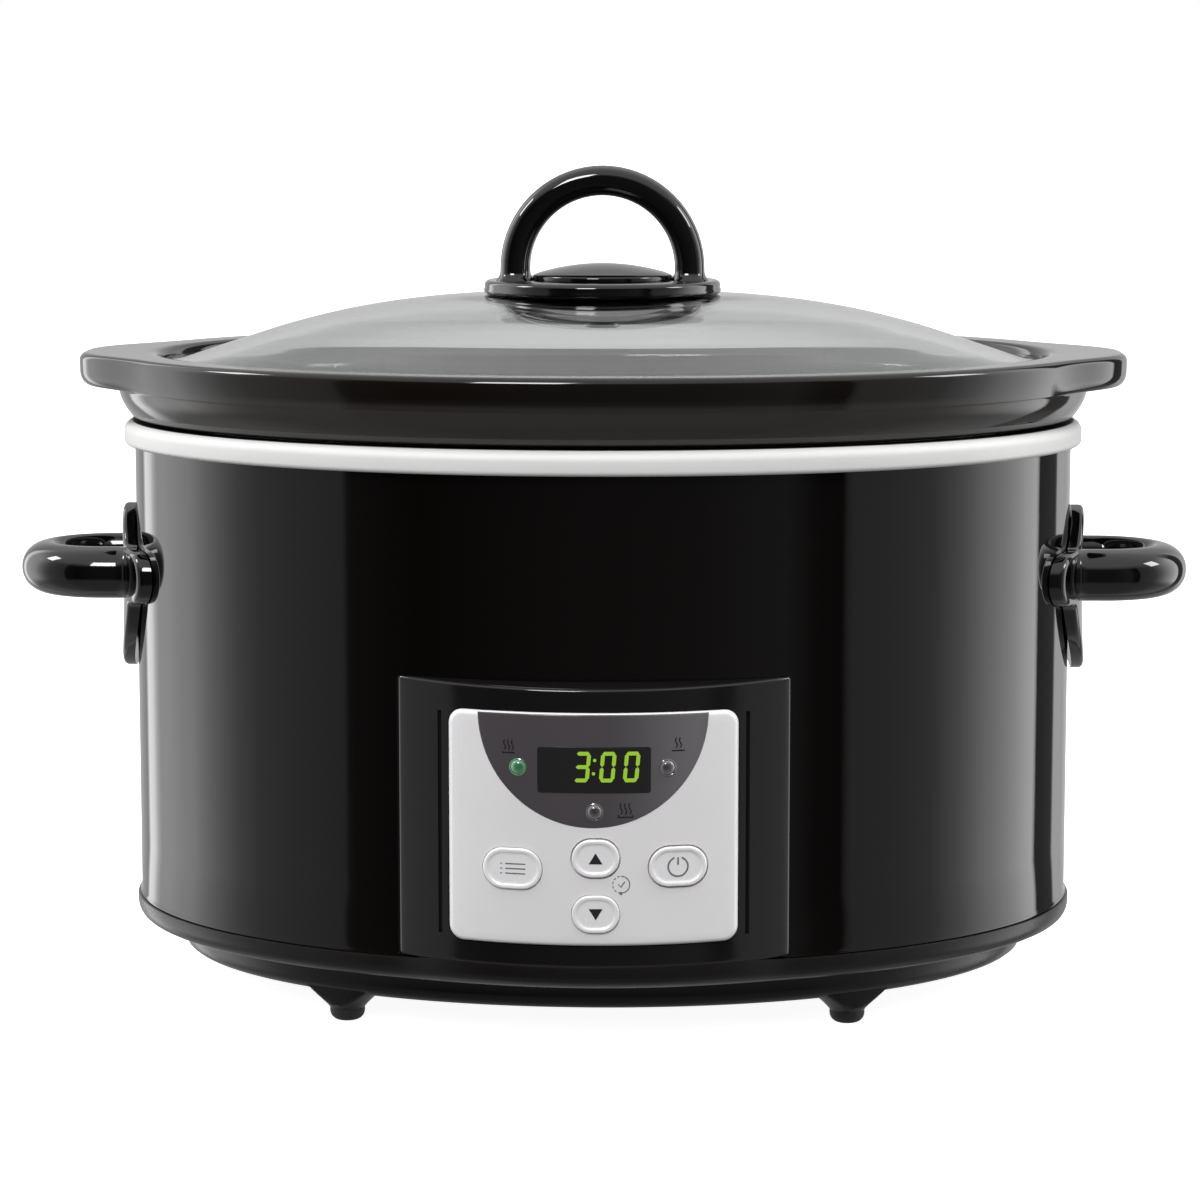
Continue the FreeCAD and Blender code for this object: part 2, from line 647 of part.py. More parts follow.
def keys():
    outer = "dims.panel_curve + dims.plate_proud + dims.key_proud"
    for name, (x, z, wide, tall) in KEYS.items():
        blank = stadium("blank_" + name, (x, z, wide, tall), "0", "-110", "30")
        cap = common(blank, panel_ring(outer, outer + " - dims.key_thick"))
        back = value("dims.panel_axis") - math.sqrt(value(outer + " - dims.key_thick") ** 2 - x * x)
        rest = "dims.board_front - 4 - 1.1"
        stem = cylinder("2", "(%s) - (%.3f)" % (rest, back - 1.2), (str(x), "%.3f" % (back - 1.2), str(z)), "y")
        node(fuse(cap, stem), "key_" + name)


# ---- side handles ----

def mirrored(side, low, high):
    """An X range on the left (-1) or right (+1) side."""
    return (low, high) if side > 0 else ("-(%s)" % high, "-(%s)" % low)


def handle(side, name):
    spine = doc.addObject("Sketcher::SketchObject", "loop_" + name)
    arm, reach = value("dims.handle_arm"), value("dims.handle_tip - dims.handle_arm")
    spine.addGeometry(Part.LineSegment(Vector(side * 150, -arm, 0), Vector(side * reach, -arm, 0)))
    circle = Part.Circle(Vector(side * reach, 0, 0), Vector(0, 0, 1), arm)
    first = -math.pi / 2 if side > 0 else math.pi / 2
    spine.addGeometry(Part.ArcOfCircle(circle, first, first + math.pi))
    spine.addGeometry(Part.LineSegment(Vector(side * reach, arm, 0), Vector(side * 150, arm, 0)))
    place(spine, "0", "0", "dims.handle_level")
    section = doc.addObject("Part::Ellipse", "grip_" + name)
    bind(section, MajorRadius="dims.handle_tall", MinorRadius="dims.handle_thick")
    section.Placement = Placement(Vector(side * 150, -arm, value("dims.handle_level")),
                                  Rotation(Vector(0, 1, 0), 90))
    sweep = doc.addObject("Part::Sweep", "Loop_" + name)
    sweep.Sections = [section]
    sweep.Spine = (spine, ["Edge1", "Edge2", "Edge3"])
    sweep.Solid = True
    body = oval([("100", "dims.gap + dims.escutcheon + 0.2"), ("170", "dims.gap + dims.escutcheon + 0.2")])
    holes = [cylinder("2.3", "22", ("150" if side > 0 else "-172", y, "dims.handle_level"), "x")
             for y in ("-dims.handle_arm", "dims.handle_arm")]
    node(cut(sweep, body, *holes), "side_handle_" + name)


def crosswise(ring, x, z):
    """A 40 mm bar along X from an ellipse, its long axis along Y."""
    place(ring, x, "0", z, Rotation(Vector(1, 1, 1), 120))
    bar = doc.addObject("Part::Extrusion", "Crosswise")
    bar.Base = ring
    bar.DirMode = "Custom"
    bar.Dir = Vector(1, 0, 0)
    bar.LengthFwd = 40
    bar.Solid = True
    return bar


def handle_plate(side, name):
    level = "dims.handle_level"
    reach = mirrored(side, "130", "170")
    along = mirrored(side, "130", "170")[0]
    bar = box(reach, ("-32", "32"), (level + " - 11.5", level + " + 11.5"))
    ends = [cylinder("11.5", "40", (along, y, level), "x") for y in ("-32", "32")]
    shield = crosswise(ellipse("30", "27.75", "0"), along, level + " - 6.25")
    sheet = oval_ring("90", "170", "dims.gap + dims.escutcheon", "dims.gap")
    holes = [cylinder("2.35", "90", (along + " - 20", y, level), "x")
             for y in ("-dims.handle_arm", "dims.handle_arm")]
    blank = cut(fuse(bar, shield, *ends), *holes)
    node(common(blank, sheet), "handle_plate_" + name)


def handle_screws(side, name):
    screws = []
    for number, arm in enumerate((-1, 1)):
        piece = screw("handle_screw_%s_%d" % (name, number), "3.8", "2.2", "2.0", "18")
        turn = Rotation(Vector(0, 1, 0), 90 * side)
        place(piece, "%d * 149.3" % side, "%d * dims.handle_arm" % arm, "dims.handle_level", turn)
        screws.append(piece)
    group("handle_screws_" + name, screws)


def cord_gland():
    tube = cut(cylinder("6", "dims.gland_end - 114", ("0", "114", "dims.gland_level"), "y"),
               cylinder("dims.gland_bore", "40", ("0", "100", "dims.gland_level"), "y"))
    collar = cut(cylinder("9.5", "3", ("0", "dims.shell_short + 0.35", "dims.gland_level"), "y"),
                 cylinder("5.5", "10", ("0", "118", "dims.gland_level"), "y"))
    keeper = cut(cylinder("8.5", "2", ("0", "116.8", "dims.gland_level"), "y"),
                 cylinder("5.5", "10", ("0", "112", "dims.gland_level"), "y"))
    node(fuse(tube, collar, keeper), "cord_gland")


# ---- crock ----

def crock():
    inset = "-dims.crock_inset"
    low = inset + " - dims.crock_taper"
    seat = "dims.rim_top + dims.gap"
    levels = corner("dims.crock_bottom + 9", low + " - 9", "9", -90)
    levels += [(seat + " - 0.2", inset), (seat, "-6"), ("dims.rim_top + 1.2", "-1.5"),
               ("dims.rim_top + 2.8", "1.6"), ("dims.rim_top + 6", "dims.lip_grow - 1.8"),
               ("dims.rim_top + 10", "dims.lip_grow - 0.4"), ("dims.lip_top - 5", "dims.lip_grow")]
    levels += corner("dims.lip_top - dims.lip_round", "dims.lip_grow - dims.lip_round", "dims.lip_round", 0)
    pot = oval(levels)
    solids = [pot]
    for side in (-1, 1):
        solids.append(lug(side))
    inner_top = inset + " - dims.crock_wall"
    inner_low = low + " - dims.crock_wall + 0.5"
    hollow = oval(corner("dims.crock_floor + 12", inner_low + " - 12", "12", -90)
                  + [("dims.ledge_level - 3", inner_top), ("dims.ledge_level", inner_top + " + 2")])
    mouth = oval([("dims.ledge_level - 0.3", inner_top + " + 1.8"), ("dims.ledge_level", "-dims.ledge_inset"),
                  ("dims.lip_top - 2", "-dims.ledge_inset"), ("dims.lip_top + 2", "-dims.ledge_inset + 2")])
    node(cut(fuse(*solids), hollow, mouth), "crock")


def lug(side):
    """A grip that carries the lip out at one end of the crock."""
    name = "lug_right" if side > 0 else "lug_left"
    body = doc.addObject("PartDesign::Body", name)
    start, end = mirrored(side, "138", "dims.lug_reach")
    sketch = outline(sketch_on(body, "XY_Plane"), [(start, "-dims.lug_half"), (end, "-dims.lug_half"),
                                                   (end, "dims.lug_half"), (start, "dims.lug_half")])
    pad = body.newObject("PartDesign::Pad", name + "_pad")
    pad.Profile = sketch
    bind(pad, Length="dims.lip_top - dims.lug_bottom")
    doc.recompute()
    tip = side * value("dims.lug_reach")
    upright = ["Edge%d" % (number + 1) for number, edge in enumerate(pad.Shape.Edges)
               if abs(edge.tangentAt(edge.FirstParameter).z) > 0.99 and abs(edge.CenterOfMass.x - tip) < 0.1]
    rounding = body.newObject("PartDesign::Fillet", name + "_round")
    rounding.Base = (pad, upright)
    bind(rounding, Radius="dims.lug_round")
    doc.recompute()
    rims = ["Edge%d" % (number + 1) for number, edge in enumerate(rounding.Shape.Edges)
            if abs(edge.tangentAt(edge.FirstParameter).z) < 0.01
            and abs(edge.CenterOfMass.x) > value("dims.lug_reach") - 20]
    soft = body.newObject("PartDesign::Fillet", name + "_soft")
    soft.Base = (rounding, rims)
    bind(soft, Radius="dims.lug_soft")
    return place(body, "0", "0", "dims.lug_bottom")


# ---- lid ----

def dome(name, drop, shrink):
    """The lid's surface as a solid cap, lowered and drawn in for the inside of the glass."""
    crown, edge = "dims.lid_crown - %s" % drop, "dims.lid_edge - %s" % drop
    rise = "(dims.lid_crown - dims.lid_edge)"
    shape = [(1.000, 0.0), (0.945, 0.055), (0.835, 0.29), (0.715, 0.55), (0.58, 0.775), (0.44, 0.925), (0.30, 1.0)]
    sections = []
    for reach, height in shape:
        half = "dims.lid_long * %s - %s" % (reach, shrink)
        sections.append(ellipse(half, "(%s) * dims.lid_ratio" % half, "%s + %s * %s" % (edge, rise, height)))
    return loft(sections, ruled=False)


def glass_lid():
    skirt_long, skirt_short = "dims.lid_long", "dims.lid_long * dims.lid_ratio"
    low = "dims.lid_edge - dims.lid_glass + 0.1"
    skirt = loft([ellipse(skirt_long + " - 1", skirt_short + " - 1", low),
                  ellipse(skirt_long, skirt_short, low + " + 1"),
                  ellipse(skirt_long, skirt_short, "dims.lid_edge")])
    upper = dome("outer", "0", "0")
    lower = dome("inner", "dims.lid_glass", "9")
    pocket = loft([ellipse("dims.lid_long - 9", "(dims.lid_long - 9) * dims.lid_ratio", low + " - 2"),
                   ellipse("dims.lid_long - 9", "(dims.lid_long - 9) * dims.lid_ratio", "dims.lid_edge - dims.lid_glass")])
    bore = cylinder("4", "40", ("0", "0", "200"))
    node(cut(fuse(skirt, upper), lower, pocket, bore), "glass_lid")


def lid_knob():
    seat, base = "dims.knob_seat", "dims.knob_base"
    flange = turned("knob_flange", [
        ("2.8", base), ("dims.knob_flange - 1.8", base), ("dims.knob_flange - 0.4", base + " + 1"),
        ("dims.knob_flange", base + " + 2.2"), ("dims.knob_flange - 0.5", seat + " - 1"),
        ("dims.knob_flange - 2", seat), ("2.8", seat)])
    spine = doc.addObject("Sketcher::SketchObject", "arch_spine")
    reach, drop = value("dims.knob_reach"), value("dims.knob_centre - dims.knob_seat + 1")
    spine.addGeometry(Part.LineSegment(Vector(reach, -drop, 0), Vector(reach, 0, 0)))
    circle = Part.Circle(Vector(0, 0, 0), Vector(0, 0, 1), reach)
    spine.addGeometry(Part.ArcOfCircle(circle, 0, math.pi))
    spine.addGeometry(Part.LineSegment(Vector(-reach, 0, 0), Vector(-reach, -drop, 0)))
    place(spine, "0", "0", "dims.knob_centre", Rotation(Vector(1, 0, 0), 90))
    section = doc.addObject("Part::Ellipse", "arch_section")
    bind(section, MajorRadius="dims.knob_deep", MinorRadius="dims.knob_thick")
    section.Placement = Placement(Vector(reach, 0, value("dims.knob_seat - 1")), Rotation(Vector(0, 0, 1), 90))
    sweep = doc.addObject("Part::Sweep", "Arch")
    sweep.Sections = [section]
    sweep.Spine = (spine, ["Edge1", "Edge2", "Edge3"])
    sweep.Solid = True
    node(fuse(flange, sweep), "lid_knob")


def knob_cap():
    seat = "dims.knob_seat + 0.1"
    radius = "dims.cap_radius"
    cap = turned("knob_cap", [("0", "dims.cap_top - 1.6"), ("2.8", "dims.cap_top - 1.6"), ("2.8", seat),
                              (radius, seat), (radius, seat + " + 1.2"), (radius + " - 1", seat + " + 2.3"),
                              (radius + " * 0.75", "dims.cap_top - 1.4"), (radius + " * 0.4", "dims.cap_top - 0.3"),
                              ("0", "dims.cap_top")])
    node(cap, "knob_cap")


def lid_fixings():
    under = "dims.lid_crown - dims.lid_glass - 0.8"
    washer = turned("lid_washer", [("3.2", under + " - 2"), ("dims.washer_radius - 1.5", under + " - 2"),
                                   ("dims.washer_radius", under + " - 1"), ("dims.washer_radius", under),
                                   ("3.2", under)])
    node(washer, "lid_washer")
    piece = screw("lid_screw", "6", "2.6", "2.5", "15")
    node(place(piece, "0", "0", under + " - 2 - 2.6"), "lid_screw")


def check_and_write():
    doc.recompute()
    for thing in doc.Objects:
        if "Invalid" in thing.State or "Error" in thing.State:
            raise RuntimeError("%s failed: %s" % (thing.Name, thing.State))
    os.makedirs("parts", exist_ok=True)
    for part in nodes:
        shape = part.Shape
        if shape.isNull() or not shape.isValid() or not shape.Solids or shape.Volume <= 0:
            raise RuntimeError("%s has no valid solid" % part.Label)
        shape.exportStep("parts/%s.step" % part.Label)
        box_of = shape.optimalBoundingBox(False, False)
        print("%-22s %2d solid %9.2f cm3  x %7.1f %7.1f  y %7.1f %7.1f  z %6.1f %6.1f" % (
            part.Label, len(shape.Solids), shape.Volume / 1000, box_of.XMin, box_of.XMax, box_of.YMin,
            box_of.YMax, box_of.ZMin, box_of.ZMax))


def main():
    fill_sheet()
    base_housing()
    feet()
    base_screws()
    outer_shell()
    rim_band()
    heating_well()
    heater_band()
    clamp_bolts()
    heat_shield()
    centre_stud()
    sensor()
    thermal_fuse()
    power_board()
    control_housing()
    face_plate()
    display_lens()
    display_module()
    lamps()
    control_board()
    keys()
    for side, name in ((-1, "left"), (1, "right")):
        handle(side, name)
        handle_plate(side, name)
        handle_screws(side, name)
    cord_gland()
    crock()
    glass_lid()
    lid_knob()
    knob_cap()
    lid_fixings()
    check_and_write()


main()
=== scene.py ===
"""Builds the finished look of an oval slow cooker round its fixed CAD frame."""

import math

import bmesh
import bpy
from bpy.props import FloatProperty, FloatVectorProperty, IntProperty, PointerProperty, StringProperty
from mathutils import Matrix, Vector


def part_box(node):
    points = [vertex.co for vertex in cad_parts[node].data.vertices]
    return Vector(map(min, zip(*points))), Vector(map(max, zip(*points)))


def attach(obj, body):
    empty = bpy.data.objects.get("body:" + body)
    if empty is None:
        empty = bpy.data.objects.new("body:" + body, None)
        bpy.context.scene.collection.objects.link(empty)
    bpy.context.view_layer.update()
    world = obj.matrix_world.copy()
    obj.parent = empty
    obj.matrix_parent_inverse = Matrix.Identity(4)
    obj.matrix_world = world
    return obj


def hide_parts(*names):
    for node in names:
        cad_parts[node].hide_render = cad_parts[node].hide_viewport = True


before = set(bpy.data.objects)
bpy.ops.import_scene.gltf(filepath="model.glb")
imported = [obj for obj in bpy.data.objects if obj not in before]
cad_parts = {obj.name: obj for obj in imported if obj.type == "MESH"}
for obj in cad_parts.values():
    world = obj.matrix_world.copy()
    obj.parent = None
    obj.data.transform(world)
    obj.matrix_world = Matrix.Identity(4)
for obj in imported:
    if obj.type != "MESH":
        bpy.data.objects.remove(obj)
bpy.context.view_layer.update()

bl_info = {
    "name": "Slow Cooker Finishes",
    "version": (1, 0, 0),
    "blender": (4, 5, 0),
    "location": "3D View > Sidebar > Slow Cooker",
    "description": "Builds the visible pieces and finishes of an oval slow cooker",
    "category": "Add Mesh",
}

MM = 0.001
BASE, CROCK, LID = "cooker", "crock", "lid"


# ---------------------------------------------------------------- measures

def span(node):
    """(lowest corner, highest corner) of a CAD node in millimetres."""
    low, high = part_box(node)
    return low / MM, high / MM


SHELL_LOW, SHELL_HIGH = span("outer_shell")
SHELL_LONG, SHELL_SHORT = SHELL_HIGH.x, SHELL_HIGH.y
RIM_LOW, RIM_HIGH = span("rim_band")
RIM_GROW = RIM_HIGH.x - SHELL_LONG
CROCK_LOW, CROCK_HIGH = span("crock")
LID_LOW, LID_HIGH = span("glass_lid")
LID_RATIO = LID_HIGH.y / LID_HIGH.x
KNOB_LOW, KNOB_HIGH = span("lid_knob")
CAP_LOW, CAP_HIGH = span("knob_cap")
HOUSING_LOW, HOUSING_HIGH = span("control_housing")
PLATE_LOW, PLATE_HIGH = span("face_plate")
LENS_HIGH = span("display_lens")[1]
HANDLE_LOW, HANDLE_HIGH = span("side_handle_right")
FOOT_LOW, FOOT_HIGH = span("foot_front_right")
GLAND_LOW, GLAND_HIGH = span("cord_gland")

PANEL_AXIS = -27.0
PANEL_CURVE = 104.0
PLATE_LIFT = -PLATE_LOW.y + PANEL_AXIS - PANEL_CURVE
LENS_LIFT = PLATE_LIFT + 0.18
ESCUTCHEON = 4.5


# ---------------------------------------------------------------- settings

class CookerBodySettings(bpy.types.PropertyGroup):
    steps: IntProperty(name="Steps Round", description="Faces round each oval piece", default=288, min=48)
    rim_round: FloatProperty(name="Rim Radius", description="Edge radius of the metal rim band",
                             default=3.4 * MM, unit="LENGTH")
    enamel: FloatVectorProperty(name="Enamel", description="Colour of the steel body", subtype="COLOR", size=3,
                                default=(0.0019, 0.0013, 0.0011))
    rim_metal: FloatVectorProperty(name="Rim Metal", description="Colour of the rim band", subtype="COLOR",
                                   size=3, default=(0.80, 0.795, 0.79))


class CookerPotSettings(bpy.types.PropertyGroup):
    steps: IntProperty(name="Steps Round", description="Faces round the crock", default=384, min=96)
    lug_width: FloatProperty(name="Lug Width", description="Half width of a grip at the end of the crock",
                             default=34 * MM, unit="LENGTH")
    glaze: FloatVectorProperty(name="Glaze", description="Colour of the crock", subtype="COLOR", size=3,
                               default=(0.0075, 0.0056, 0.0044))
    glass: FloatProperty(name="Glass", description="Thickness of the lid", default=4.0 * MM, unit="LENGTH")
    phenolic: FloatVectorProperty(name="Phenolic", description="Colour of the knob and handles", subtype="COLOR",
                                  size=3, default=(0.0016, 0.0013, 0.0013))


class CookerPanelSettings(bpy.types.PropertyGroup):
    reading: StringProperty(name="Reading", description="What the display shows", default="3:00")
    digit_height: FloatProperty(name="Digit Height", description="Height of the display digits",
                                default=9.4 * MM, unit="LENGTH")
    silver: FloatVectorProperty(name="Silver", description="Colour of the face plate and keys", subtype="COLOR",
                                size=3, default=(0.60, 0.59, 0.60))
    glow: FloatVectorProperty(name="Digit Colour", description="Colour of the lit digits", subtype="COLOR",
                              size=3, default=(0.42, 0.78, 0.03))


class CookerStudioSettings(bpy.types.PropertyGroup):
    distance: FloatProperty(name="Camera Distance", description="From the middle of the cooker, level",
                            default=1.2698, unit="LENGTH")
    height: FloatProperty(name="Camera Height", description="Above the table", default=0.2951, unit="LENGTH")
    turn: FloatProperty(name="Camera Turn", description="Round the cooker", default=math.radians(1.3),
                        subtype="ANGLE")
    tilt: FloatProperty(name="Camera Tilt", description="Below level", default=math.radians(7.624),
                        subtype="ANGLE")
    lens: FloatProperty(name="Lens", description="Focal length in millimetres", default=114.15)
    fill: FloatProperty(name="Front Fill", description="Power of the front lamp", default=9.0, unit="POWER")


# ---------------------------------------------------------------- node helpers

class Maker:
    """Adds nodes to a tree and joins them by socket."""

    def __init__(self, tree):
        self.tree = tree

    def add(self, kind, inputs=None, **settings):
        node = self.tree.nodes.new(kind)
        for name, value in settings.items():
            setattr(node, name, value)
        for name, value in (inputs or {}).items():
            socket = node.inputs[name]
            if isinstance(value, bpy.types.NodeSocket):
                self.tree.links.new(value, socket)
            else:
                socket.default_value = value
        return node

    def math(self, operation, first, second=0.0, third=0.0):
        return self.add("ShaderNodeMath", {0: first, 1: second, 2: third}, operation=operation).outputs[0]

    def link(self, source, target):
        self.tree.links.new(source, target)


def new_group(name, kind, inputs, outputs):
    """A node group with named sockets, its maker, its input node and its output node."""
    tree = bpy.data.node_groups.new(name, kind)
    for label, socket, default in inputs:
        item = tree.interface.new_socket(label, in_out="INPUT", socket_type=socket)
        if default is not None:
            item.default_value = default
    for label, socket in outputs:
        tree.interface.new_socket(label, in_out="OUTPUT", socket_type=socket)
    maker = Maker(tree)
    return tree, maker, maker.add("NodeGroupInput"), maker.add("NodeGroupOutput")


def grain_group():
    """Fine even relief and a matching tone, as on moulded, painted or glazed faces."""
    tree, make, given, result = new_group("surface_grain", "ShaderNodeTree", [
        ("Scale", "NodeSocketFloat", 400.0), ("Stretch", "NodeSocketVector", (1.0, 1.0, 1.0)),
        ("Detail", "NodeSocketFloat", 3.0)], [("Height", "NodeSocketFloat"), ("Tone", "NodeSocketFloat")])
    place = make.add("ShaderNodeTexCoord").outputs["Object"]
    stretched = make.add("ShaderNodeVectorMath", {0: place, 1: given.outputs["Stretch"]}, operation="MULTIPLY")
    fine = make.add("ShaderNodeTexNoise", {"Vector": stretched.outputs[0], "Scale": given.outputs["Scale"],
                                           "Detail": given.outputs["Detail"], "Roughness": 0.55})
    tone = make.add("ShaderNodeTexNoise", {"Vector": place, "Scale": 14.0, "Detail": 4.0, "Roughness": 0.6})
    make.link(fine.outputs["Fac"], result.inputs["Height"])
    make.link(tone.outputs["Fac"], result.inputs["Tone"])
    return tree


def handling_group():
    """Roughness that varies where a surface has been wiped and handled."""
    tree, make, given, result = new_group("handling_marks", "ShaderNodeTree", [
        ("Lowest", "NodeSocketFloat", 0.05), ("Highest", "NodeSocketFloat", 0.12),
        ("Scale", "NodeSocketFloat", 9.0)], [("Roughness", "NodeSocketFloat"), ("Mask", "NodeSocketFloat")])
    place = make.add("ShaderNodeTexCoord").outputs["Object"]
    broad = make.add("ShaderNodeTexNoise", {"Vector": place, "Scale": given.outputs["Scale"], "Detail": 5.0,
                                            "Roughness": 0.62, "Distortion": 0.6})
    streak = make.add("ShaderNodeTexNoise", {"Vector": place, "Scale": 160.0, "Detail": 2.0})
    mixed = make.math("MULTIPLY_ADD", streak.outputs["Fac"], 0.25, make.math("MULTIPLY", broad.outputs["Fac"], 0.75))
    mask = make.add("ShaderNodeMapRange", {"Value": mixed, "From Min": 0.38, "From Max": 0.66}).outputs[0]
    rough = make.add("ShaderNodeMapRange", {"Value": mask, "To Min": given.outputs["Lowest"],
                                            "To Max": given.outputs["Highest"]}).outputs[0]
    make.link(rough, result.inputs["Roughness"])
    make.link(mask, result.inputs["Mask"])
    return tree


def shared(name):
    """A shader group, built on first use."""
    makers = {"surface_grain": grain_group, "handling_marks": handling_group}
    return bpy.data.node_groups.get(name) or makers[name]()


# ---------------------------------------------------------------- finishes

def finish(name, colour, rough, grain=(400.0, 0.05), stretch=(1.0, 1.0, 1.0), tone=0.12, marks=9.0, **sockets):
    """A finish: colour with a soft tone, roughness between two values, and fine relief."""
    known = bpy.data.materials.get(name)
    if known:
        return known
    material = bpy.data.materials.new(name)
    material.use_nodes = True
    make = Maker(material.node_tree)
    shader = material.node_tree.nodes["Principled BSDF"]
    for socket, value in sockets.items():
        shader.inputs[socket.replace("_", " ")].default_value = value
    relief = make.add("ShaderNodeGroup", node_tree=shared("surface_grain"))
    relief.inputs["Scale"].default_value = grain[0]
    relief.inputs["Stretch"].default_value = stretch
    dark = tuple(c * (1.0 - tone) for c in colour) + (1.0,)
    light = tuple(min(c * (1.0 + tone), 1.0) for c in colour) + (1.0,)
    mixed = make.add("ShaderNodeMix", data_type="RGBA")
    mixed.inputs["A"].default_value = dark
    mixed.inputs["B"].default_value = light
    make.link(relief.outputs["Tone"], mixed.inputs["Factor"])
    make.link(mixed.outputs["Result"], shader.inputs["Base Color"])
    wiped = make.add("ShaderNodeGroup", node_tree=shared("handling_marks"))
    wiped.inputs["Lowest"].default_value = rough[0]
    wiped.inputs["Highest"].default_value = rough[1]
    wiped.inputs["Scale"].default_value = marks
    make.link(wiped.outputs["Roughness"], shader.inputs["Roughness"])
    bump = make.add("ShaderNodeBump")
    bump.inputs["Strength"].default_value = grain[1]
    bump.inputs["Distance"].default_value = 0.0004
    make.link(relief.outputs["Height"], bump.inputs["Height"])
    make.link(bump.outputs["Normal"], shader.inputs["Normal"])
    return material


def toned(material, axis, start, end, colour):
    """Brings a second colour in along one object axis, from START to END in millimetres. The script uses it only for
    painted light: shade on the rim and on the lid's glass, a reflection on the crock, a sheen on the window.
    """
    nodes = material.node_tree.nodes
    if nodes.get("second_tone"):
        return material
    make = Maker(material.node_tree)
    base = nodes["Principled BSDF"].inputs["Base Color"]
    place = make.add("ShaderNodeSeparateXYZ", {0: make.add("ShaderNodeTexCoord").outputs["Object"]})
    share = make.add("ShaderNodeMapRange", {"Value": place.outputs[axis], "From Min": start * MM,
                                            "From Max": end * MM}, interpolation_type="SMOOTHSTEP")
    blend_base(make, base, share.outputs[0], colour)
    return material


def domed(material, colour):
    """Brings a second colour in where the surface turns away from view: a painted sheen at the edge of a dome."""
    nodes = material.node_tree.nodes
    if nodes.get("second_tone"):
        return material
    make = Maker(material.node_tree)
    turned_away = make.add("ShaderNodeLayerWeight", {"Blend": 0.35}).outputs["Facing"]
    blend_base(make, nodes["Principled BSDF"].inputs["Base Color"], turned_away, colour)
    return material


def blend_base(make, base, share, colour):
    mixed = make.add("ShaderNodeMix", data_type="RGBA")
    mixed.name = "second_tone"
    make.link(share, mixed.inputs["Factor"])
    make.link(base.links[0].from_socket, mixed.inputs["A"])
    mixed.inputs["B"].default_value = tuple(colour) + (1.0,)
    make.link(mixed.outputs["Result"], base)


def enamel():
    colour = bpy.context.scene.cooker_body.enamel
    return finish("black_enamel", colour, (0.015, 0.05), grain=(120.0, 0.02), IOR=1.5)


def rim_metal():
    colour = bpy.context.scene.cooker_body.rim_metal
    material = finish("satin_aluminium", [0.78 * c for c in colour], (0.48, 0.60), grain=(900.0, 0.10),
                      stretch=(1.0, 1.0, 6.0), tone=0.05, Metallic=0.12,
                      Specular_IOR_Level=0.22)
    # Painted shade: the flat top of the rim band is painted near black, for the shade under the crock's overhanging
    # lip.
    return toned(material, "Z", RIM_HIGH.z - 0.12, RIM_HIGH.z - 0.02, (0.008, 0.007, 0.007))


def well_metal():
    return finish("drawn_aluminium", (0.50, 0.50, 0.50), (0.35, 0.55), grain=(700.0, 0.15),
                  stretch=(1.0, 1.0, 0.2), Metallic=1.0)


def base_plastic():
    return finish("satin_black_moulding", (0.0060, 0.0052, 0.0050), (0.20, 0.34), grain=(2200.0, 0.12),
                  Specular_IOR_Level=0.28)


def panel_plastic():
    return finish("gloss_black_moulding", (0.0055, 0.005, 0.005), (0.06, 0.16), grain=(300.0, 0.03))


def phenolic():
    colour = bpy.context.scene.cooker_pot.phenolic
    return finish("polished_phenolic", colour, (0.03, 0.09), grain=(260.0, 0.03), IOR=1.55)


def rubber():
    return finish("foot_rubber", (0.003, 0.003, 0.003), (0.55, 0.75), grain=(1500.0, 0.35))


def glaze():
    colour = bpy.context.scene.cooker_pot.glaze
    material = finish("stoneware_glaze", [0.6 * c for c in colour], (0.03, 0.10), grain=(70.0, 0.05), tone=0.30,
                      IOR=1.5, Specular_IOR_Level=0.45)
    # Painted reflection: the crock below about 199.4 mm is painted a lighter brown, for the table's glow reflected in
    # the lower band.
    return toned(material, "Z", 201.4, 199.4, (0.0180, 0.0148, 0.0130))


def silver_paint():
    colour = [c * 1.16 for c in bpy.context.scene.cooker_panel.silver]
    return finish("silver_paint", colour, (0.32, 0.46), grain=(2600.0, 0.12), tone=0.04, Metallic=0.15)


def silver_key():
    colour = [c * 1.24 for c in bpy.context.scene.cooker_panel.silver]
    return finish("silver_key_paint", colour, (0.22, 0.34), grain=(2600.0, 0.08), tone=0.03, Metallic=0.15)


def smoke():
    material = finish("smoked_lens", (0.056, 0.050, 0.056), (0.08, 0.16), grain=(500.0, 0.03), tone=0.10,
                      Coat_Weight=0.5, Coat_Roughness=0.05)
    # Painted sheen: the window is painted lighter towards its right end, for a reflection across it.
    return toned(material, "X", 2.0, 36.0, (0.115, 0.110, 0.115))


def display_black():
    return finish("display_black", (0.046, 0.040, 0.048), (0.06, 0.12), grain=(500.0, 0.02))


def ink():
    return finish("printed_ink", (0.012, 0.012, 0.013), (0.35, 0.5), grain=(1800.0, 0.10))


def grey_ink():
    return finish("printed_grey_ink", (0.13, 0.13, 0.135), (0.35, 0.5), grain=(1800.0, 0.10))


def lens_ink():
    return finish("printed_lens_ink", (0.008, 0.007, 0.008), (0.30, 0.42), grain=(1800.0, 0.10))


def zinc():
    return finish("zinc_plate", (0.55, 0.55, 0.56), (0.25, 0.42), grain=(900.0, 0.15), Metallic=1.0)


def sheet_steel():
    return finish("aluminised_steel", (0.46, 0.46, 0.47), (0.30, 0.50), grain=(800.0, 0.2),
                  stretch=(0.3, 1.0, 1.0), Metallic=1.0)


def foil():
    return finish("heater_foil", (0.52, 0.50, 0.47), (0.25, 0.5), grain=(240.0, 0.5), Metallic=1.0)


def circuit_board():
    return finish("green_solder_mask", (0.012, 0.10, 0.035), (0.22, 0.35), grain=(900.0, 0.2), tone=0.25)


def moulded_dark():
    return finish("component_moulding", (0.03, 0.03, 0.033), (0.35, 0.5), grain=(1600.0, 0.25))


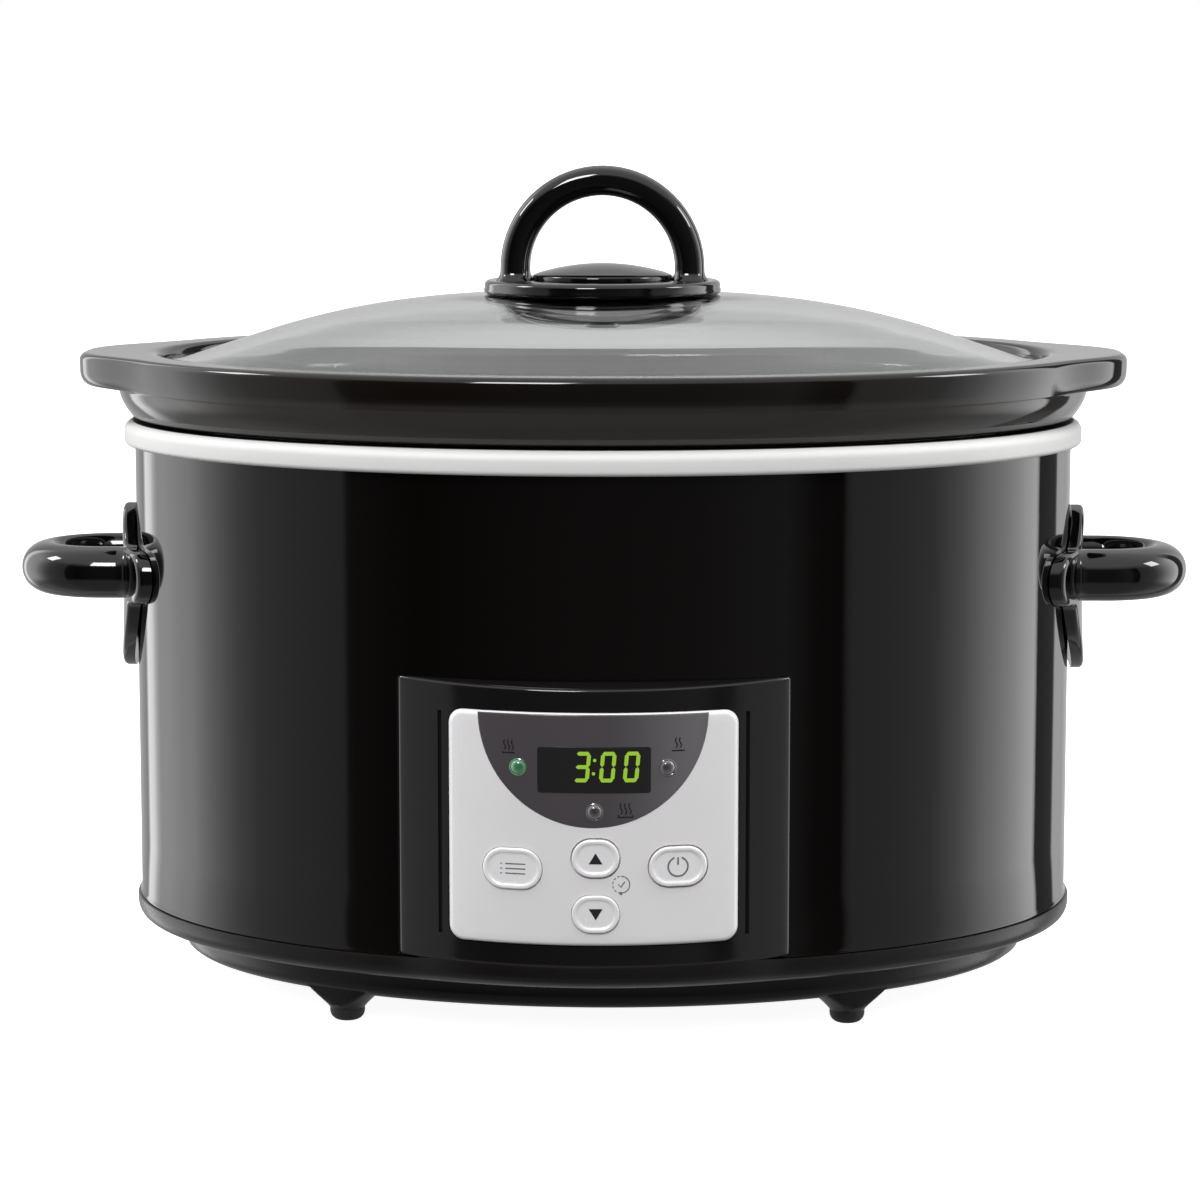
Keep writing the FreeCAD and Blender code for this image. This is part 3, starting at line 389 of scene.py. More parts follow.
def nylon():
    return finish("white_nylon", (0.62, 0.61, 0.57), (0.38, 0.5), grain=(1400.0, 0.2))


def silicone():
    return finish("grey_silicone", (0.36, 0.37, 0.37), (0.25, 0.38), grain=(900.0, 0.12))


def lamp_clear():
    material = finish("clear_lamp", (0.030, 0.028, 0.030), (0.03, 0.08), grain=(400.0, 0.02), Coat_Weight=0.8)
    # Painted sheen: the dome is painted light grey where it turns away from view.
    return domed(material, (0.62, 0.61, 0.60))


def lamp_green():
    material = finish("lit_green_lamp", (0.020, 0.075, 0.040), (0.03, 0.08), grain=(400.0, 0.02), Coat_Weight=0.8,
                      Emission_Color=(0.10, 0.75, 0.25, 1.0), Emission_Strength=0.05)
    # Painted sheen: the dome is painted light green where it turns away from view.
    return domed(material, (0.42, 0.72, 0.50))


def digit_glow():
    colour = tuple(bpy.context.scene.cooker_panel.glow) + (1.0,)
    return finish("lit_digit", (0.02, 0.04, 0.01), (0.3, 0.4), grain=(1200.0, 0.05), Emission_Color=colour,
                  Emission_Strength=0.64)


def lid_glass():
    known = bpy.data.materials.get("tempered_glass")
    if known:
        return known
    material = finish("tempered_glass", (0.93, 0.95, 0.945), (0.0, 0.012), grain=(60.0, 0.004), tone=0.01,
                      Transmission_Weight=1.0, IOR=1.48)
    # Painted shade: the glass is tinted dark below about 206 mm, round its rim, for the dark shade between the lid's
    # edge and the crock's lip.
    return toned(material, "Z", 207.0, 206.0, (0.10, 0.11, 0.11))


# ---------------------------------------------------------------- mesh helpers

def link_object(thing):
    bpy.context.scene.collection.objects.link(thing)
    return thing


def settle_mesh(mesh, sharp=32.0):
    """Welds, turns faces outwards, and shades smooth up to an angle."""
    work = bmesh.new()
    work.from_mesh(mesh)
    bmesh.ops.remove_doubles(work, verts=work.verts, dist=1e-7)
    bmesh.ops.dissolve_degenerate(work, edges=work.edges, dist=1e-7)
    bmesh.ops.recalc_face_normals(work, faces=work.faces)
    work.to_mesh(mesh)
    work.free()
    mesh.shade_smooth()
    mesh.set_sharp_from_angle(angle=math.radians(sharp))


def piece(name, mesh, material, body, replaced=()):
    """A finished piece that rides on its body."""
    mesh.materials.clear()
    mesh.materials.append(material)
    thing = link_object(bpy.data.objects.new(name, mesh))
    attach(thing, body)
    if replaced:
        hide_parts(*replaced)
    return thing


def mesh_from(name, solids, sharp=32.0):
    """One mesh from several (points, faces) solids in millimetres."""
    points, faces = [], []
    for spots, sides in solids:
        start = len(points)
        points += [(x * MM, y * MM, z * MM) for x, y, z in spots]
        faces += [tuple(start + corner for corner in side) for side in sides]
    mesh = bpy.data.meshes.new(name)
    mesh.from_pydata(points, [], faces)
    settle_mesh(mesh, sharp)
    return mesh


def loft(rings, wrap=False):
    """Faces between rings of equal count; the ends are closed unless the rings wrap."""
    count = len(rings[0])
    points = [spot for ring in rings for spot in ring]
    faces = []
    for row in range(len(rings) if wrap else len(rings) - 1):
        here, there = row * count, (row + 1) % len(rings) * count
        for k in range(count):
            after = (k + 1) % count
            faces.append((here + k, here + after, there + after, there + k))
    if not wrap:
        for ring, start in ((rings[0], 0), (rings[-1], (len(rings) - 1) * count)):
            centre = len(points)
            points.append(tuple(sum(spot[axis] for spot in ring) / count for axis in range(3)))
            faces += [(start + k, start + (k + 1) % count, centre) for k in range(count)]
    return points, faces


def arc(centre, radius, start, end, steps):
    """Points round an arc in a plane, angles in degrees."""
    return [(centre[0] + radius * math.cos(math.radians(start + (end - start) * k / steps)),
             centre[1] + radius * math.sin(math.radians(start + (end - start) * k / steps)))
            for k in range(steps + 1)]


def turned(profile, centre=(0.0, 0.0), steps=72):
    """A solid turned about an upright axis from (radius, height) points, closed at both ends."""
    rings = []
    for radius, height in profile:
        rings.append([(centre[0] + radius * math.cos(math.tau * k / steps),
                       centre[1] + radius * math.sin(math.tau * k / steps), height) for k in range(steps)])
    return loft(rings)


def oval_ring(grow, height, steps):
    return [((SHELL_LONG + grow) * math.cos(math.tau * k / steps),
             (SHELL_SHORT + grow) * math.sin(math.tau * k / steps), height) for k in range(steps)]


def superellipse(half_one, half_two, power, steps):
    """Points round a rounded section, fuller than an ellipse above a power of 2."""
    spots = []
    for k in range(steps):
        c, s = math.cos(math.tau * k / steps), math.sin(math.tau * k / steps)
        spots.append((half_one * math.copysign(abs(c) ** (2.0 / power), c),
                      half_two * math.copysign(abs(s) ** (2.0 / power), s)))
    return spots


def rounded_box(half_wide, half_high, radius, centre=(0.0, 0.0), side=18, corner=8):
    """A closed outline with evenly divided sides and round corners."""
    spots = []
    corners = ((1, -1, -90), (1, 1, 0), (-1, 1, 90), (-1, -1, 180))
    for number, (right, up, start) in enumerate(corners):
        hub = (centre[0] + right * (half_wide - radius), centre[1] + up * (half_high - radius))
        bend = arc(hub, radius, start, start + 90, corner)
        after = corners[(number + 1) % 4]
        hub_after = (centre[0] + after[0] * (half_wide - radius), centre[1] + after[1] * (half_high - radius))
        first = arc(hub_after, radius, after[2], after[2] + 90, corner)[0]
        spots += bend
        for k in range(1, side):
            spots.append(tuple(bend[-1][axis] + (first[axis] - bend[-1][axis]) * k / side for axis in (0, 1)))
    return spots


def inset(outline, distance):
    """The outline drawn in by a distance, corner by corner."""
    drawn = []
    count = len(outline)
    for k, (x, y) in enumerate(outline):
        before, after = outline[k - 1], outline[(k + 1) % count]
        along = Vector((after[0] - before[0], after[1] - before[1])).normalized()
        drawn.append((x - along.y * distance, y + along.x * distance))
    return drawn


def shrink(outline, factor, centre):
    return [(centre[0] + (x - centre[0]) * factor, centre[1] + (y - centre[1]) * factor) for x, y in outline]


def blend_low(first, second, soft):
    """The lower of two values, rounded where they cross."""
    gap = max(soft - abs(first - second), 0.0) / soft
    return min(first, second) - gap * gap * soft / 4


def ray_reach(shape, start, way, far):
    """How far along a ray from inside a shape its surface lies; the shape gives a signed distance."""
    near = 0.0
    for _ in range(28):
        middle = (near + far) / 2
        if shape(start[0] + way[0] * middle, start[1] + way[1] * middle) < 0.0:
            near = middle
        else:
            far = middle
    return near


def smooth_through(points, parts):
    """A smooth line through points, each span divided into parts."""
    line = []
    for k in range(len(points) - 1):
        a, b, c, d = (points[min(max(k + step, 0), len(points) - 1)] for step in (-1, 0, 1, 2))
        for step in range(parts):
            t = step / parts
            line.append(tuple(b[i] + t / 2 * (c[i] - a[i] + t * (2 * a[i] - 5 * b[i] + 4 * c[i] - d[i]
                                                                 + t * (3 * (b[i] - c[i]) + d[i] - a[i])))
                              for i in range(2)))
    return line + [points[-1]]


def on_panel(x, z, lift):
    """A point on the curved control panel, lifted off it."""
    return (x, PANEL_AXIS - math.sqrt((PANEL_CURVE + lift) ** 2 - x * x), z)


def pad(outline, low, top, bevel, place=on_panel, dish=(), rings=12):
    """A thick sheet with a rounded front edge, laid on a curved surface by PLACE.

    Each dish step is (distance in from the edge of the face, rise)."""
    centre = tuple(sum(spot[axis] for spot in outline) / len(outline) for axis in (0, 1))
    layers = [(outline, low), (outline, top - bevel)]
    for step in range(1, 6):
        angle = math.radians(90.0 * step / 5)
        layers.append((inset(outline, bevel * (1 - math.cos(angle))), top - bevel + bevel * math.sin(angle)))
    edge = layers[-1][0]
    for across, rise in dish:
        layers.append((inset(edge, across), top + rise))
    edge, level = layers[-1]
    for step in range(1, rings):
        layers.append((shrink(edge, 1 - step / rings, centre), level))
    return loft([[place(x, z, lift) for x, z in spots] for spots, lift in layers])


def stroke(points, width, lift, closed=False, thick=0.08, place=on_panel):
    """A thin raised line along points on the panel."""
    rows = []
    count = len(points)
    for k, (x, z) in enumerate(points):
        before = points[k - 1] if closed or k else points[k]
        after = points[(k + 1) % count] if closed or k + 1 < count else points[k]
        along = Vector((after[0] - before[0], after[1] - before[1])).normalized() * (width / 2)
        left, right = (x - along.y, z + along.x), (x + along.y, z - along.x)
        rows.append([place(*left, lift), place(*left, lift + thick), place(*right, lift + thick),
                     place(*right, lift)])
    return loft(rows, wrap=closed)


# ---------------------------------------------------------------- geometry node trees

def oval_turn_tree():
    """Turns a closed (grow, height) profile round the cooker's oval outline."""
    known = bpy.data.node_groups.get("oval_turn")
    if known:
        return known
    tree, make, given, result = new_group("oval_turn", "GeometryNodeTree", [
        ("Profile", "NodeSocketGeometry", None), ("Half Length", "NodeSocketFloat", 0.15),
        ("Half Depth", "NodeSocketFloat", 0.12), ("Steps Round", "NodeSocketInt", 288),
        ("Profile Points", "NodeSocketInt", 8), ("Finish", "NodeSocketMaterial", None)],
        [("Geometry", "NodeSocketGeometry")])
    rows = make.math("ADD", given.outputs["Profile Points"], 1.0)
    columns = make.math("ADD", given.outputs["Steps Round"], 1.0)
    grid = make.add("GeometryNodeMeshGrid", {"Vertices X": columns, "Vertices Y": rows})
    index = make.add("GeometryNodeInputIndex").outputs[0]
    row = make.math("MODULO", index, rows)
    column = make.math("FLOOR", make.math("DIVIDE", make.math("ADD", index, 0.5), rows))
    spot = make.math("MODULO", row, given.outputs["Profile Points"])
    position = make.add("GeometryNodeInputPosition").outputs[0]
    sample = make.add("GeometryNodeSampleIndex", data_type="FLOAT_VECTOR", domain="POINT")
    make.link(given.outputs["Profile"], sample.inputs["Geometry"])
    make.link(position, sample.inputs["Value"])
    make.link(spot, sample.inputs["Index"])
    parts = make.add("ShaderNodeSeparateXYZ", {0: sample.outputs["Value"]})
    angle = make.math("MULTIPLY", make.math("DIVIDE", column, given.outputs["Steps Round"]), math.tau)
    long = make.math("ADD", given.outputs["Half Length"], parts.outputs["X"])
    short = make.math("ADD", given.outputs["Half Depth"], parts.outputs["X"])
    place = make.add("ShaderNodeCombineXYZ", {"X": make.math("MULTIPLY", long, make.math("COSINE", angle)),
                                              "Y": make.math("MULTIPLY", short, make.math("SINE", angle)),
                                              "Z": parts.outputs["Z"]})
    moved = make.add("GeometryNodeSetPosition", {"Geometry": grid.outputs["Mesh"], "Position": place.outputs[0]})
    welded = make.add("GeometryNodeMergeByDistance", {"Geometry": moved.outputs[0], "Distance": 1e-6})
    real = make.add("GeometryNodeRealizeInstances", {"Geometry": welded.outputs[0]})
    painted = make.add("GeometryNodeSetMaterial", {"Geometry": real.outputs[0], "Material": given.outputs["Finish"]})
    make.link(painted.outputs[0], result.inputs["Geometry"])
    return tree


def repeat_tree():
    """Puts a part at every point, turned by the point's own "turn" angles."""
    known = bpy.data.node_groups.get("repeat_part")
    if known:
        return known
    tree, make, given, result = new_group("repeat_part", "GeometryNodeTree", [
        ("Points", "NodeSocketGeometry", None), ("Part", "NodeSocketObject", None),
        ("Size", "NodeSocketFloat", 1.0), ("Finish", "NodeSocketMaterial", None)],
        [("Geometry", "NodeSocketGeometry")])
    part = make.add("GeometryNodeObjectInfo", {"Object": given.outputs["Part"]})
    turn = make.add("GeometryNodeInputNamedAttribute", {"Name": "turn"}, data_type="FLOAT_VECTOR")
    rotation = make.add("FunctionNodeEulerToRotation", {0: turn.outputs["Attribute"]})
    cloud = make.add("GeometryNodeMeshToPoints", {"Mesh": given.outputs["Points"]})
    copies = make.add("GeometryNodeInstanceOnPoints", {
        "Points": cloud.outputs[0], "Instance": part.outputs["Geometry"], "Rotation": rotation.outputs[0]})
    make.link(given.outputs["Size"], copies.inputs["Scale"])
    real = make.add("GeometryNodeRealizeInstances", {"Geometry": copies.outputs[0]})
    painted = make.add("GeometryNodeSetMaterial", {"Geometry": real.outputs[0], "Material": given.outputs["Finish"]})
    make.link(painted.outputs[0], result.inputs["Geometry"])
    return tree


def grown(name, source_mesh, tree, sharp=32.0, **values):
    """The plain mesh that a geometry node tree makes of a source mesh."""
    helper = link_object(bpy.data.objects.new(name + "_source", source_mesh))
    modifier = helper.modifiers.new("Grow", "NODES")
    modifier.node_group = tree
    sockets = {item.name: item.identifier for item in tree.interface.items_tree if item.in_out == "INPUT"}
    for label, value in values.items():
        modifier[sockets[label.replace("_", " ")]] = value
    view = bpy.context.evaluated_depsgraph_get()
    mesh = bpy.data.meshes.new_from_object(helper.evaluated_get(view), depsgraph=view)
    helper.modifiers.remove(modifier)
    bpy.data.objects.remove(helper)
    mesh.name = name
    settle_mesh(mesh, sharp)
    return mesh


def oval_turned(name, profile, material, sharp=32.0):
    """A mesh turned round the oval from a closed (grow, height) outline in millimetres."""
    outline = bpy.data.meshes.new(name + "_outline")
    count = len(profile)
    outline.from_pydata([(grow * MM, 0.0, height * MM) for grow, height in profile],
                        [(k, (k + 1) % count) for k in range(count)], [])
    return grown(name, outline, oval_turn_tree(), sharp, Half_Length=SHELL_LONG * MM,
                 Half_Depth=SHELL_SHORT * MM, Steps_Round=bpy.context.scene.cooker_body.steps,
                 Profile_Points=count, Finish=material)


def repeated(name, part_mesh, spots, material, sharp=32.0):
    """A mesh of one part repeated at (place, turn) spots, both as triples."""
    part = link_object(bpy.data.objects.new(name + "_part", part_mesh))
    cloud = bpy.data.meshes.new(name + "_points")
    cloud.from_pydata([tuple(c * MM for c in place) for place, turn in spots], [], [])
    angles = cloud.attributes.new("turn", "FLOAT_VECTOR", "POINT")
    for k, (place, turn) in enumerate(spots):
        angles.data[k].vector = turn
    mesh = grown(name, cloud, repeat_tree(), sharp, Part=part, Size=1.0, Finish=material)
    bpy.data.objects.remove(part)
    return mesh


# ---------------------------------------------------------------- steel body

def build_steel_body():
    steps_wall = 0.8
    low, high = SHELL_LOW.z, SHELL_HIGH.z
    wall = [(-0.3, low), (0.2, low + 0.05), (0.45, low + 0.3), (0.5, low + 0.6), (0.42, low + 0.9), (0.0, low + 1.9)]
    wall += [(0.0, low + (high - low) * k / 8) for k in range(1, 8)]
    wall += [(0.0, high - 0.1), (-0.1, high), (-steps_wall, high), (-steps_wall, low)]
    material = enamel()
    piece("shell_wall", oval_turned("shell_wall", wall, material), material, BASE, ["outer_shell"])

    radius = bpy.context.scene.cooker_body.rim_round / MM
    low, high = RIM_LOW.z, RIM_HIGH.z
    inner = RIM_GROW - 15.0
    band = [(RIM_GROW - 2.6, low), (RIM_GROW - 1.6, low)]
    band += arc((RIM_GROW - 1.5, low + 1.5), 1.5, -85, 0, 5)
    band += arc((RIM_GROW - radius, high - radius), radius, 0, 90, 9)
    band += [(RIM_GROW - 7.0, high), (RIM_GROW - 9.3, high - 0.02), (RIM_GROW - 9.5, high - 0.95), (inner, high - 0.95),
             (inner, low), (RIM_GROW - 4.0, low)]
    material = rim_metal()
    piece("rim_trim", oval_turned("rim_trim", band, material), material, BASE, ["rim_band"])


# ---------------------------------------------------------------- crock

LUG_CORNER = 28.0
LUG_TUCK = 40.0


def crock_ring(grow, height, tuck, settings):
    """An oval ring that runs out round both lugs; tuck draws the lug's own outline in."""
    long, short = SHELL_LONG + grow, SHELL_SHORT + grow
    reach, half = CROCK_HIGH.x, settings.lug_width / MM

    def outline(x, y):
        ratio = math.hypot(x / long, y / short)
        oval = (ratio - 1.0) * ratio / max(math.hypot(x / long ** 2, y / short ** 2), 1e-9)
        over_x, over_y = abs(x) - (reach - LUG_CORNER), abs(y) - (half - LUG_CORNER)
        lug = math.hypot(max(over_x, 0.0), max(over_y, 0.0)) + min(max(over_x, over_y), 0.0) - LUG_CORNER + tuck
        return blend_low(oval, lug, 22.0) if tuck < LUG_TUCK else oval

    ring = []
    for k in range(settings.steps):
        turn = math.tau * k / settings.steps
        turn -= 0.36 * math.sin(2 * turn)
        start = (110.0 * math.cos(turn), 0.0)
        way = Vector((SHELL_LONG * math.cos(turn) - start[0], SHELL_SHORT * math.sin(turn))).normalized()
        out = ray_reach(outline, start, way, 180.0)
        ring.append((start[0] + way.x * out, way.y * out, height))
    return ring


def between(first, second, share, rise=0.0):
    """A ring part of the way between two; it rises where they lie well apart."""
    ring = []
    for (a, b, c), (d, e, f) in zip(first, second):
        arch = rise * min(math.hypot(d - a, e - b) / 6.0, 1.0)
        ring.append((a + (d - a) * share, b + (e - b) * share, c + (f - c) * share + arch))
    return ring


def build_crock():
    settings = bpy.context.scene.cooker_pot
    low, top = CROCK_LOW.z, CROCK_HIGH.z
    seat, under = RIM_HIGH.z + 0.3, top - 10.8
    profile = [(-60.0, low + 1.4), (-40.0, low + 1.4), (-34.5, low + 1.2), (-33.2, low), (-30.5, low)]
    profile += arc((-31.0, low + 9.0), 9.0, -82, 0, 8)
    profile += [(-20.6, 90.0), (-19.6, 130.0), (-18.7, 180.0), (-18.5, seat - 0.2), (-17.6, seat), (-8.0, seat),
                (-1.6, seat + 0.4), (-0.3, seat + 0.55), (0.5, seat + 1.0), (1.0, seat + 1.7)]
    profile += smooth_through([(1.0, seat + 1.7), (2.9, seat + 4.4), (4.4, seat + 7.4), (5.3, under - 0.2)], 4)[1:]
    rings = [oval_ring_warped(grow, height, settings) for grow, height in profile]
    soft, crisp = 4.4, 2.4
    root, tip = rings[-1], crock_ring(5.4, under, soft, settings)
    rings += [between(root, tip, share, 0.9 * math.sin(math.pi * share)) for share in (0.25, 0.5, 0.75)]
    for step in range(7):
        angle = math.radians(15.0 * step)
        rings.append(crock_ring(5.4 + 0.7 * (1 - math.cos(angle)), under + soft * (1 - math.cos(angle)),
                                soft * (1 - math.sin(angle)), settings))
    rings.append(crock_ring(6.25, (under + soft + top - crisp) / 2, 0.0, settings))
    for step in range(7):
        angle = math.radians(15.0 * step)
        drawn = crisp * (1 - math.cos(angle))
        rings.append(crock_ring(6.3 - drawn, top - crisp + crisp * math.sin(angle), drawn, settings))
    outside, inside = rings[-1], oval_ring_warped(-6.4, top - 0.1, settings)
    rings += [between(outside, inside, share) for share in (0.1, 0.3, 0.5, 0.7, 0.9)]
    ledge = top - 7.2
    profile = [(-6.9, top - 0.2), (-7.6, top - 0.6), (-8.2, top - 1.4), (-8.5, top - 2.6), (-8.6, ledge + 0.7),
               (-8.9, ledge + 0.2), (-9.6, ledge), (-22.0, ledge), (-24.0, ledge - 0.6), (-25.6, ledge - 2.6),
               (-26.5, ledge - 7.0), (-27.0, 150.0), (-28.2, 100.0), (-29.3, 70.0)]
    profile += arc((-45.0, 65.5), 15.5, 0, -86, 8)
    profile += [(-58.0, 50.0), (-75.0, 50.0)]
    rings += [oval_ring_warped(grow, height, settings) for grow, height in profile]
    piece("stoneware_pot", mesh_from("stoneware_pot", [loft(rings)], 45), glaze(), CROCK, ["crock"])


def oval_ring_warped(grow, height, settings):
    """A plain oval ring with its points where the lug rings have theirs."""
    return crock_ring(grow, height, LUG_TUCK, settings)


# ---------------------------------------------------------------- lid

# (share of the half length, share of the rise) of the dome
LID_SHAPE = [(0.10, 1.0), (0.30, 1.0), (0.44, 0.925), (0.58, 0.775), (0.715, 0.55), (0.835, 0.29), (0.945, 0.055),
             (0.985, 0.01)]


def build_lid():
    glass = bpy.context.scene.cooker_pot.glass / MM
    half, top, edge = LID_HIGH.x, LID_HIGH.z, LID_LOW.z + glass
    steps = 256

    def ring(reach, height):
        return [(reach * math.cos(math.tau * k / steps), reach * LID_RATIO * math.sin(math.tau * k / steps), height)
                for k in range(steps)]

    outer = [(half * reach, edge + (top - edge) * rise) for reach, rise in smooth_through(LID_SHAPE, 6)]
    rim = arc((half - 2.0, edge - 2.0), 2.0, 90, -90, 10)
    inner = []
    for k, (reach, height) in enumerate(outer):
        before, after = outer[max(k - 1, 0)], outer[min(k + 1, len(outer) - 1)]
        along = Vector((after[0] - before[0], after[1] - before[1])).normalized()
        inner.append((reach + along.y * glass, height - along.x * glass))
    shell = outer + rim + inner[::-1]
    mesh = mesh_from("domed_glass", [loft([ring(reach, height) for reach, height in shell])], 50)
    piece("domed_glass", mesh, lid_glass(), LID, ["glass_lid"])
    build_knob()


def build_knob():
    base, seat, reach = KNOB_LOW.z, KNOB_LOW.z + 4.7, KNOB_HIGH.x
    flange = [(3.0, base), (reach - 6.0, base), (reach - 3.0, base)]
    flange += arc((reach - 1.4, base + 1.4), 1.4, -90, 20, 6)
    flange += [(reach - 0.35, base + 2.5)] + arc((reach - 1.9, seat - 1.7), 1.7, 10, 90, 6)
    flange += [(reach - 4.2, seat - 0.1), (reach - 5.4, seat - 0.5), (reach - 6.6, seat - 0.1), (20.0, seat),
               (3.0, seat)]
    thick, deep, hub = 5.0, 7.6, KNOB_HIGH.z - 34.0
    section = superellipse(1.0, 1.0, 2.7, 32)
    rings = []

    def frame_at(centre, out, swell):
        rings.append([(centre[0] + out[0] * r * thick * swell, d * deep * swell, centre[1] + out[1] * r * thick * swell)
                      for r, d in section])

    arch = 29.0
    for side in (1, -1):
        legs = [(seat - 1.0, 1.34), (seat + 0.2, 1.26), (seat + 0.9, 1.12), (seat + 1.9, 1.03), (hub - 0.8, 1.0)]
        bends = [(angle, 1.0) for angle in range(0, 90, 5)]
        if side > 0:
            for height, swell in legs:
                frame_at((arch, height), (1.0, 0.0), swell)
            for angle, swell in bends + [(a, 1.0) for a in range(90, 181, 5)]:
                radians = math.radians(angle)
                frame_at((arch * math.cos(radians), hub + arch * math.sin(radians)),
                         (math.cos(radians), math.sin(radians)), swell)
        else:
            for height, swell in reversed(legs):
                frame_at((-arch, height), (-1.0, 0.0), swell)
    mesh = mesh_from("arch_knob", [turned(flange, steps=128), loft(rings)], 40)
    piece("arch_knob", mesh, phenolic(), LID, ["lid_knob"])

    low, high, radius = CAP_LOW.z, CAP_HIGH.z, CAP_HIGH.x
    dome = [(radius, low)] + arc((radius - 0.9, low + 0.9), 0.9, 0, 60, 4)
    dome += [(radius * reach, low + 1.7 + (high - low - 1.7) * (1 - reach ** 2)) for reach in
             (0.9, 0.8, 0.65, 0.5, 0.35, 0.2, 0.08)]
    mesh = mesh_from("knob_button", [turned(dome, steps=96)], 50)
    piece("knob_button", mesh, phenolic(), LID, ["knob_cap"])


# ---------------------------------------------------------------- side handles

def on_shell(side, y, z, grow):
    """A point on the end of the oval body, grown outwards."""
    return (side * (SHELL_LONG + grow) * math.sqrt(1 - (y / (SHELL_SHORT + grow)) ** 2), y, z)


def plate_outline(level, steps=160):
    """A round-ended bar crossed by an upright oval shield."""
    centre = (0.0, level - 1.0)

    def shape(y, z):
        bar = math.hypot(max(abs(y) - 35.0, 0.0), z - level) - 8.6
        shield = (abs(y / 29.5) ** 1.5 + abs((z - level + 6.25) / 27.6) ** 1.5) ** (2 / 3) * 24.0 - 24.0
        return blend_low(bar, shield, 3.0)

    spots = []
    for k in range(steps):
        way = (math.cos(math.tau * k / steps), math.sin(math.tau * k / steps))
        out = ray_reach(shape, centre, way, 60.0)
        spots.append((centre[0] + way[0] * out, centre[1] + way[1] * out))
    return spots


def build_handles():
    """Two loops, full inside and drawn to a soft nose outside, on their plates."""
    level = (HANDLE_LOW.z + HANDLE_HIGH.z) / 2
    tall = (HANDLE_HIGH.z - HANDLE_LOW.z) / 2
    outer, inner, wide = 9.5, 4.5, HANDLE_HIGH.y
    arm = wide - outer
    reach = HANDLE_HIGH.x - wide
    section = superellipse(1.0, 1.0, 2.1, 48)
    for side, name in ((-1, "left"), (1, "right")):
        rings = []

        def frame_at(centre, out, swell=0.0):
            ring = []
            for r, h in section:
                across = r * ((outer if r > 0 else inner) + swell)
                ring.append((side * (centre[0] + out[0] * across), centre[1] + out[1] * across,
                             level + h * (tall + swell)))
            rings.append(ring)

        start = SHELL_LONG + ESCUTCHEON - 6.0
        stations = [(start, 0.6), (start + 2.4, 0.6), (start + 3.0, 0.4), (start + 3.6, 0.0), (start + 6.0, 0.0),
                    (reach - 2.0, 0.0)]
        for x, swell in stations:
            frame_at((x, -arm), (0.0, -1.0), swell)
        for angle in range(-90, 91, 5):
            radians = math.radians(angle)
            frame_at((reach + arm * math.cos(radians), arm * math.sin(radians)), (math.cos(radians), math.sin(radians)))
        for x, swell in reversed(stations):
            frame_at((x, arm), (0.0, 1.0), swell)
        mesh = mesh_from("loop_handle_" + name, [loft(rings)], 50)
        piece("loop_handle_" + name, mesh, phenolic(), BASE, ["side_handle_" + name])

        def place(y, z, grow):
            return on_shell(side, y, z, grow + 1.1 * ((z - level) / 34.0) ** 2)

        mesh = mesh_from("cross_plate_" + name, [pad(plate_outline(level), 0.3, ESCUTCHEON, 1.6, place=place,
                                                     rings=16)], 50)
        piece("cross_plate_" + name, mesh, phenolic(), BASE, ["handle_plate_" + name])


# ---------------------------------------------------------------- control panel

def cutter(name, low, high):
    """A hidden block for cutting a slot."""
    work = bmesh.new()
    bmesh.ops.create_cube(work, size=1.0)
    for vertex in work.verts:
        for axis in range(3):
            vertex.co[axis] = (low[axis] + (high[axis] - low[axis]) * (vertex.co[axis] + 0.5)) * MM
    mesh = bpy.data.meshes.new(name)
    work.to_mesh(mesh)
    work.free()
    return link_object(bpy.data.objects.new(name, mesh))


def carved(name, mesh, cutters, sharp=32.0):
    """The mesh with each cutter taken away."""
    host = link_object(bpy.data.objects.new(name + "_host", mesh))
    for tool in cutters:
        modifier = host.modifiers.new("Carve", "BOOLEAN")
        modifier.operation = "DIFFERENCE"
        modifier.solver = "EXACT"
        modifier.object = tool
    view = bpy.context.evaluated_depsgraph_get()
    result = bpy.data.meshes.new_from_object(host.evaluated_get(view), depsgraph=view)
    for thing in [host] + list(cutters):
        bpy.data.objects.remove(thing)
    result.name = name
    settle_mesh(result, sharp)
    return result


# degrees that the top of the housing falls towards the front, and the height where that begins
HOUSING_LEAN, LEAN_FROM = 4.0, 108.6
# upright slots either side of the face plate, from the middle
SLOT_INNER, SLOT_OUTER = 46.7, 47.9
# air round a key in the housing and in the face plate
KEY_POCKET_GAP = 0.5
KEY_WELL_GAP = {"menu": 0.32, "up": 0.62, "down": 0.32, "power": 0.62}


def key_cutter(label, name, gap, low, high):
    """A hidden key shape for cutting the room round a key."""
    mesh = mesh_from(label, [pad(key_outline(name, gap), low, high, 0.1, rings=3)])
    return link_object(bpy.data.objects.new(label, mesh))


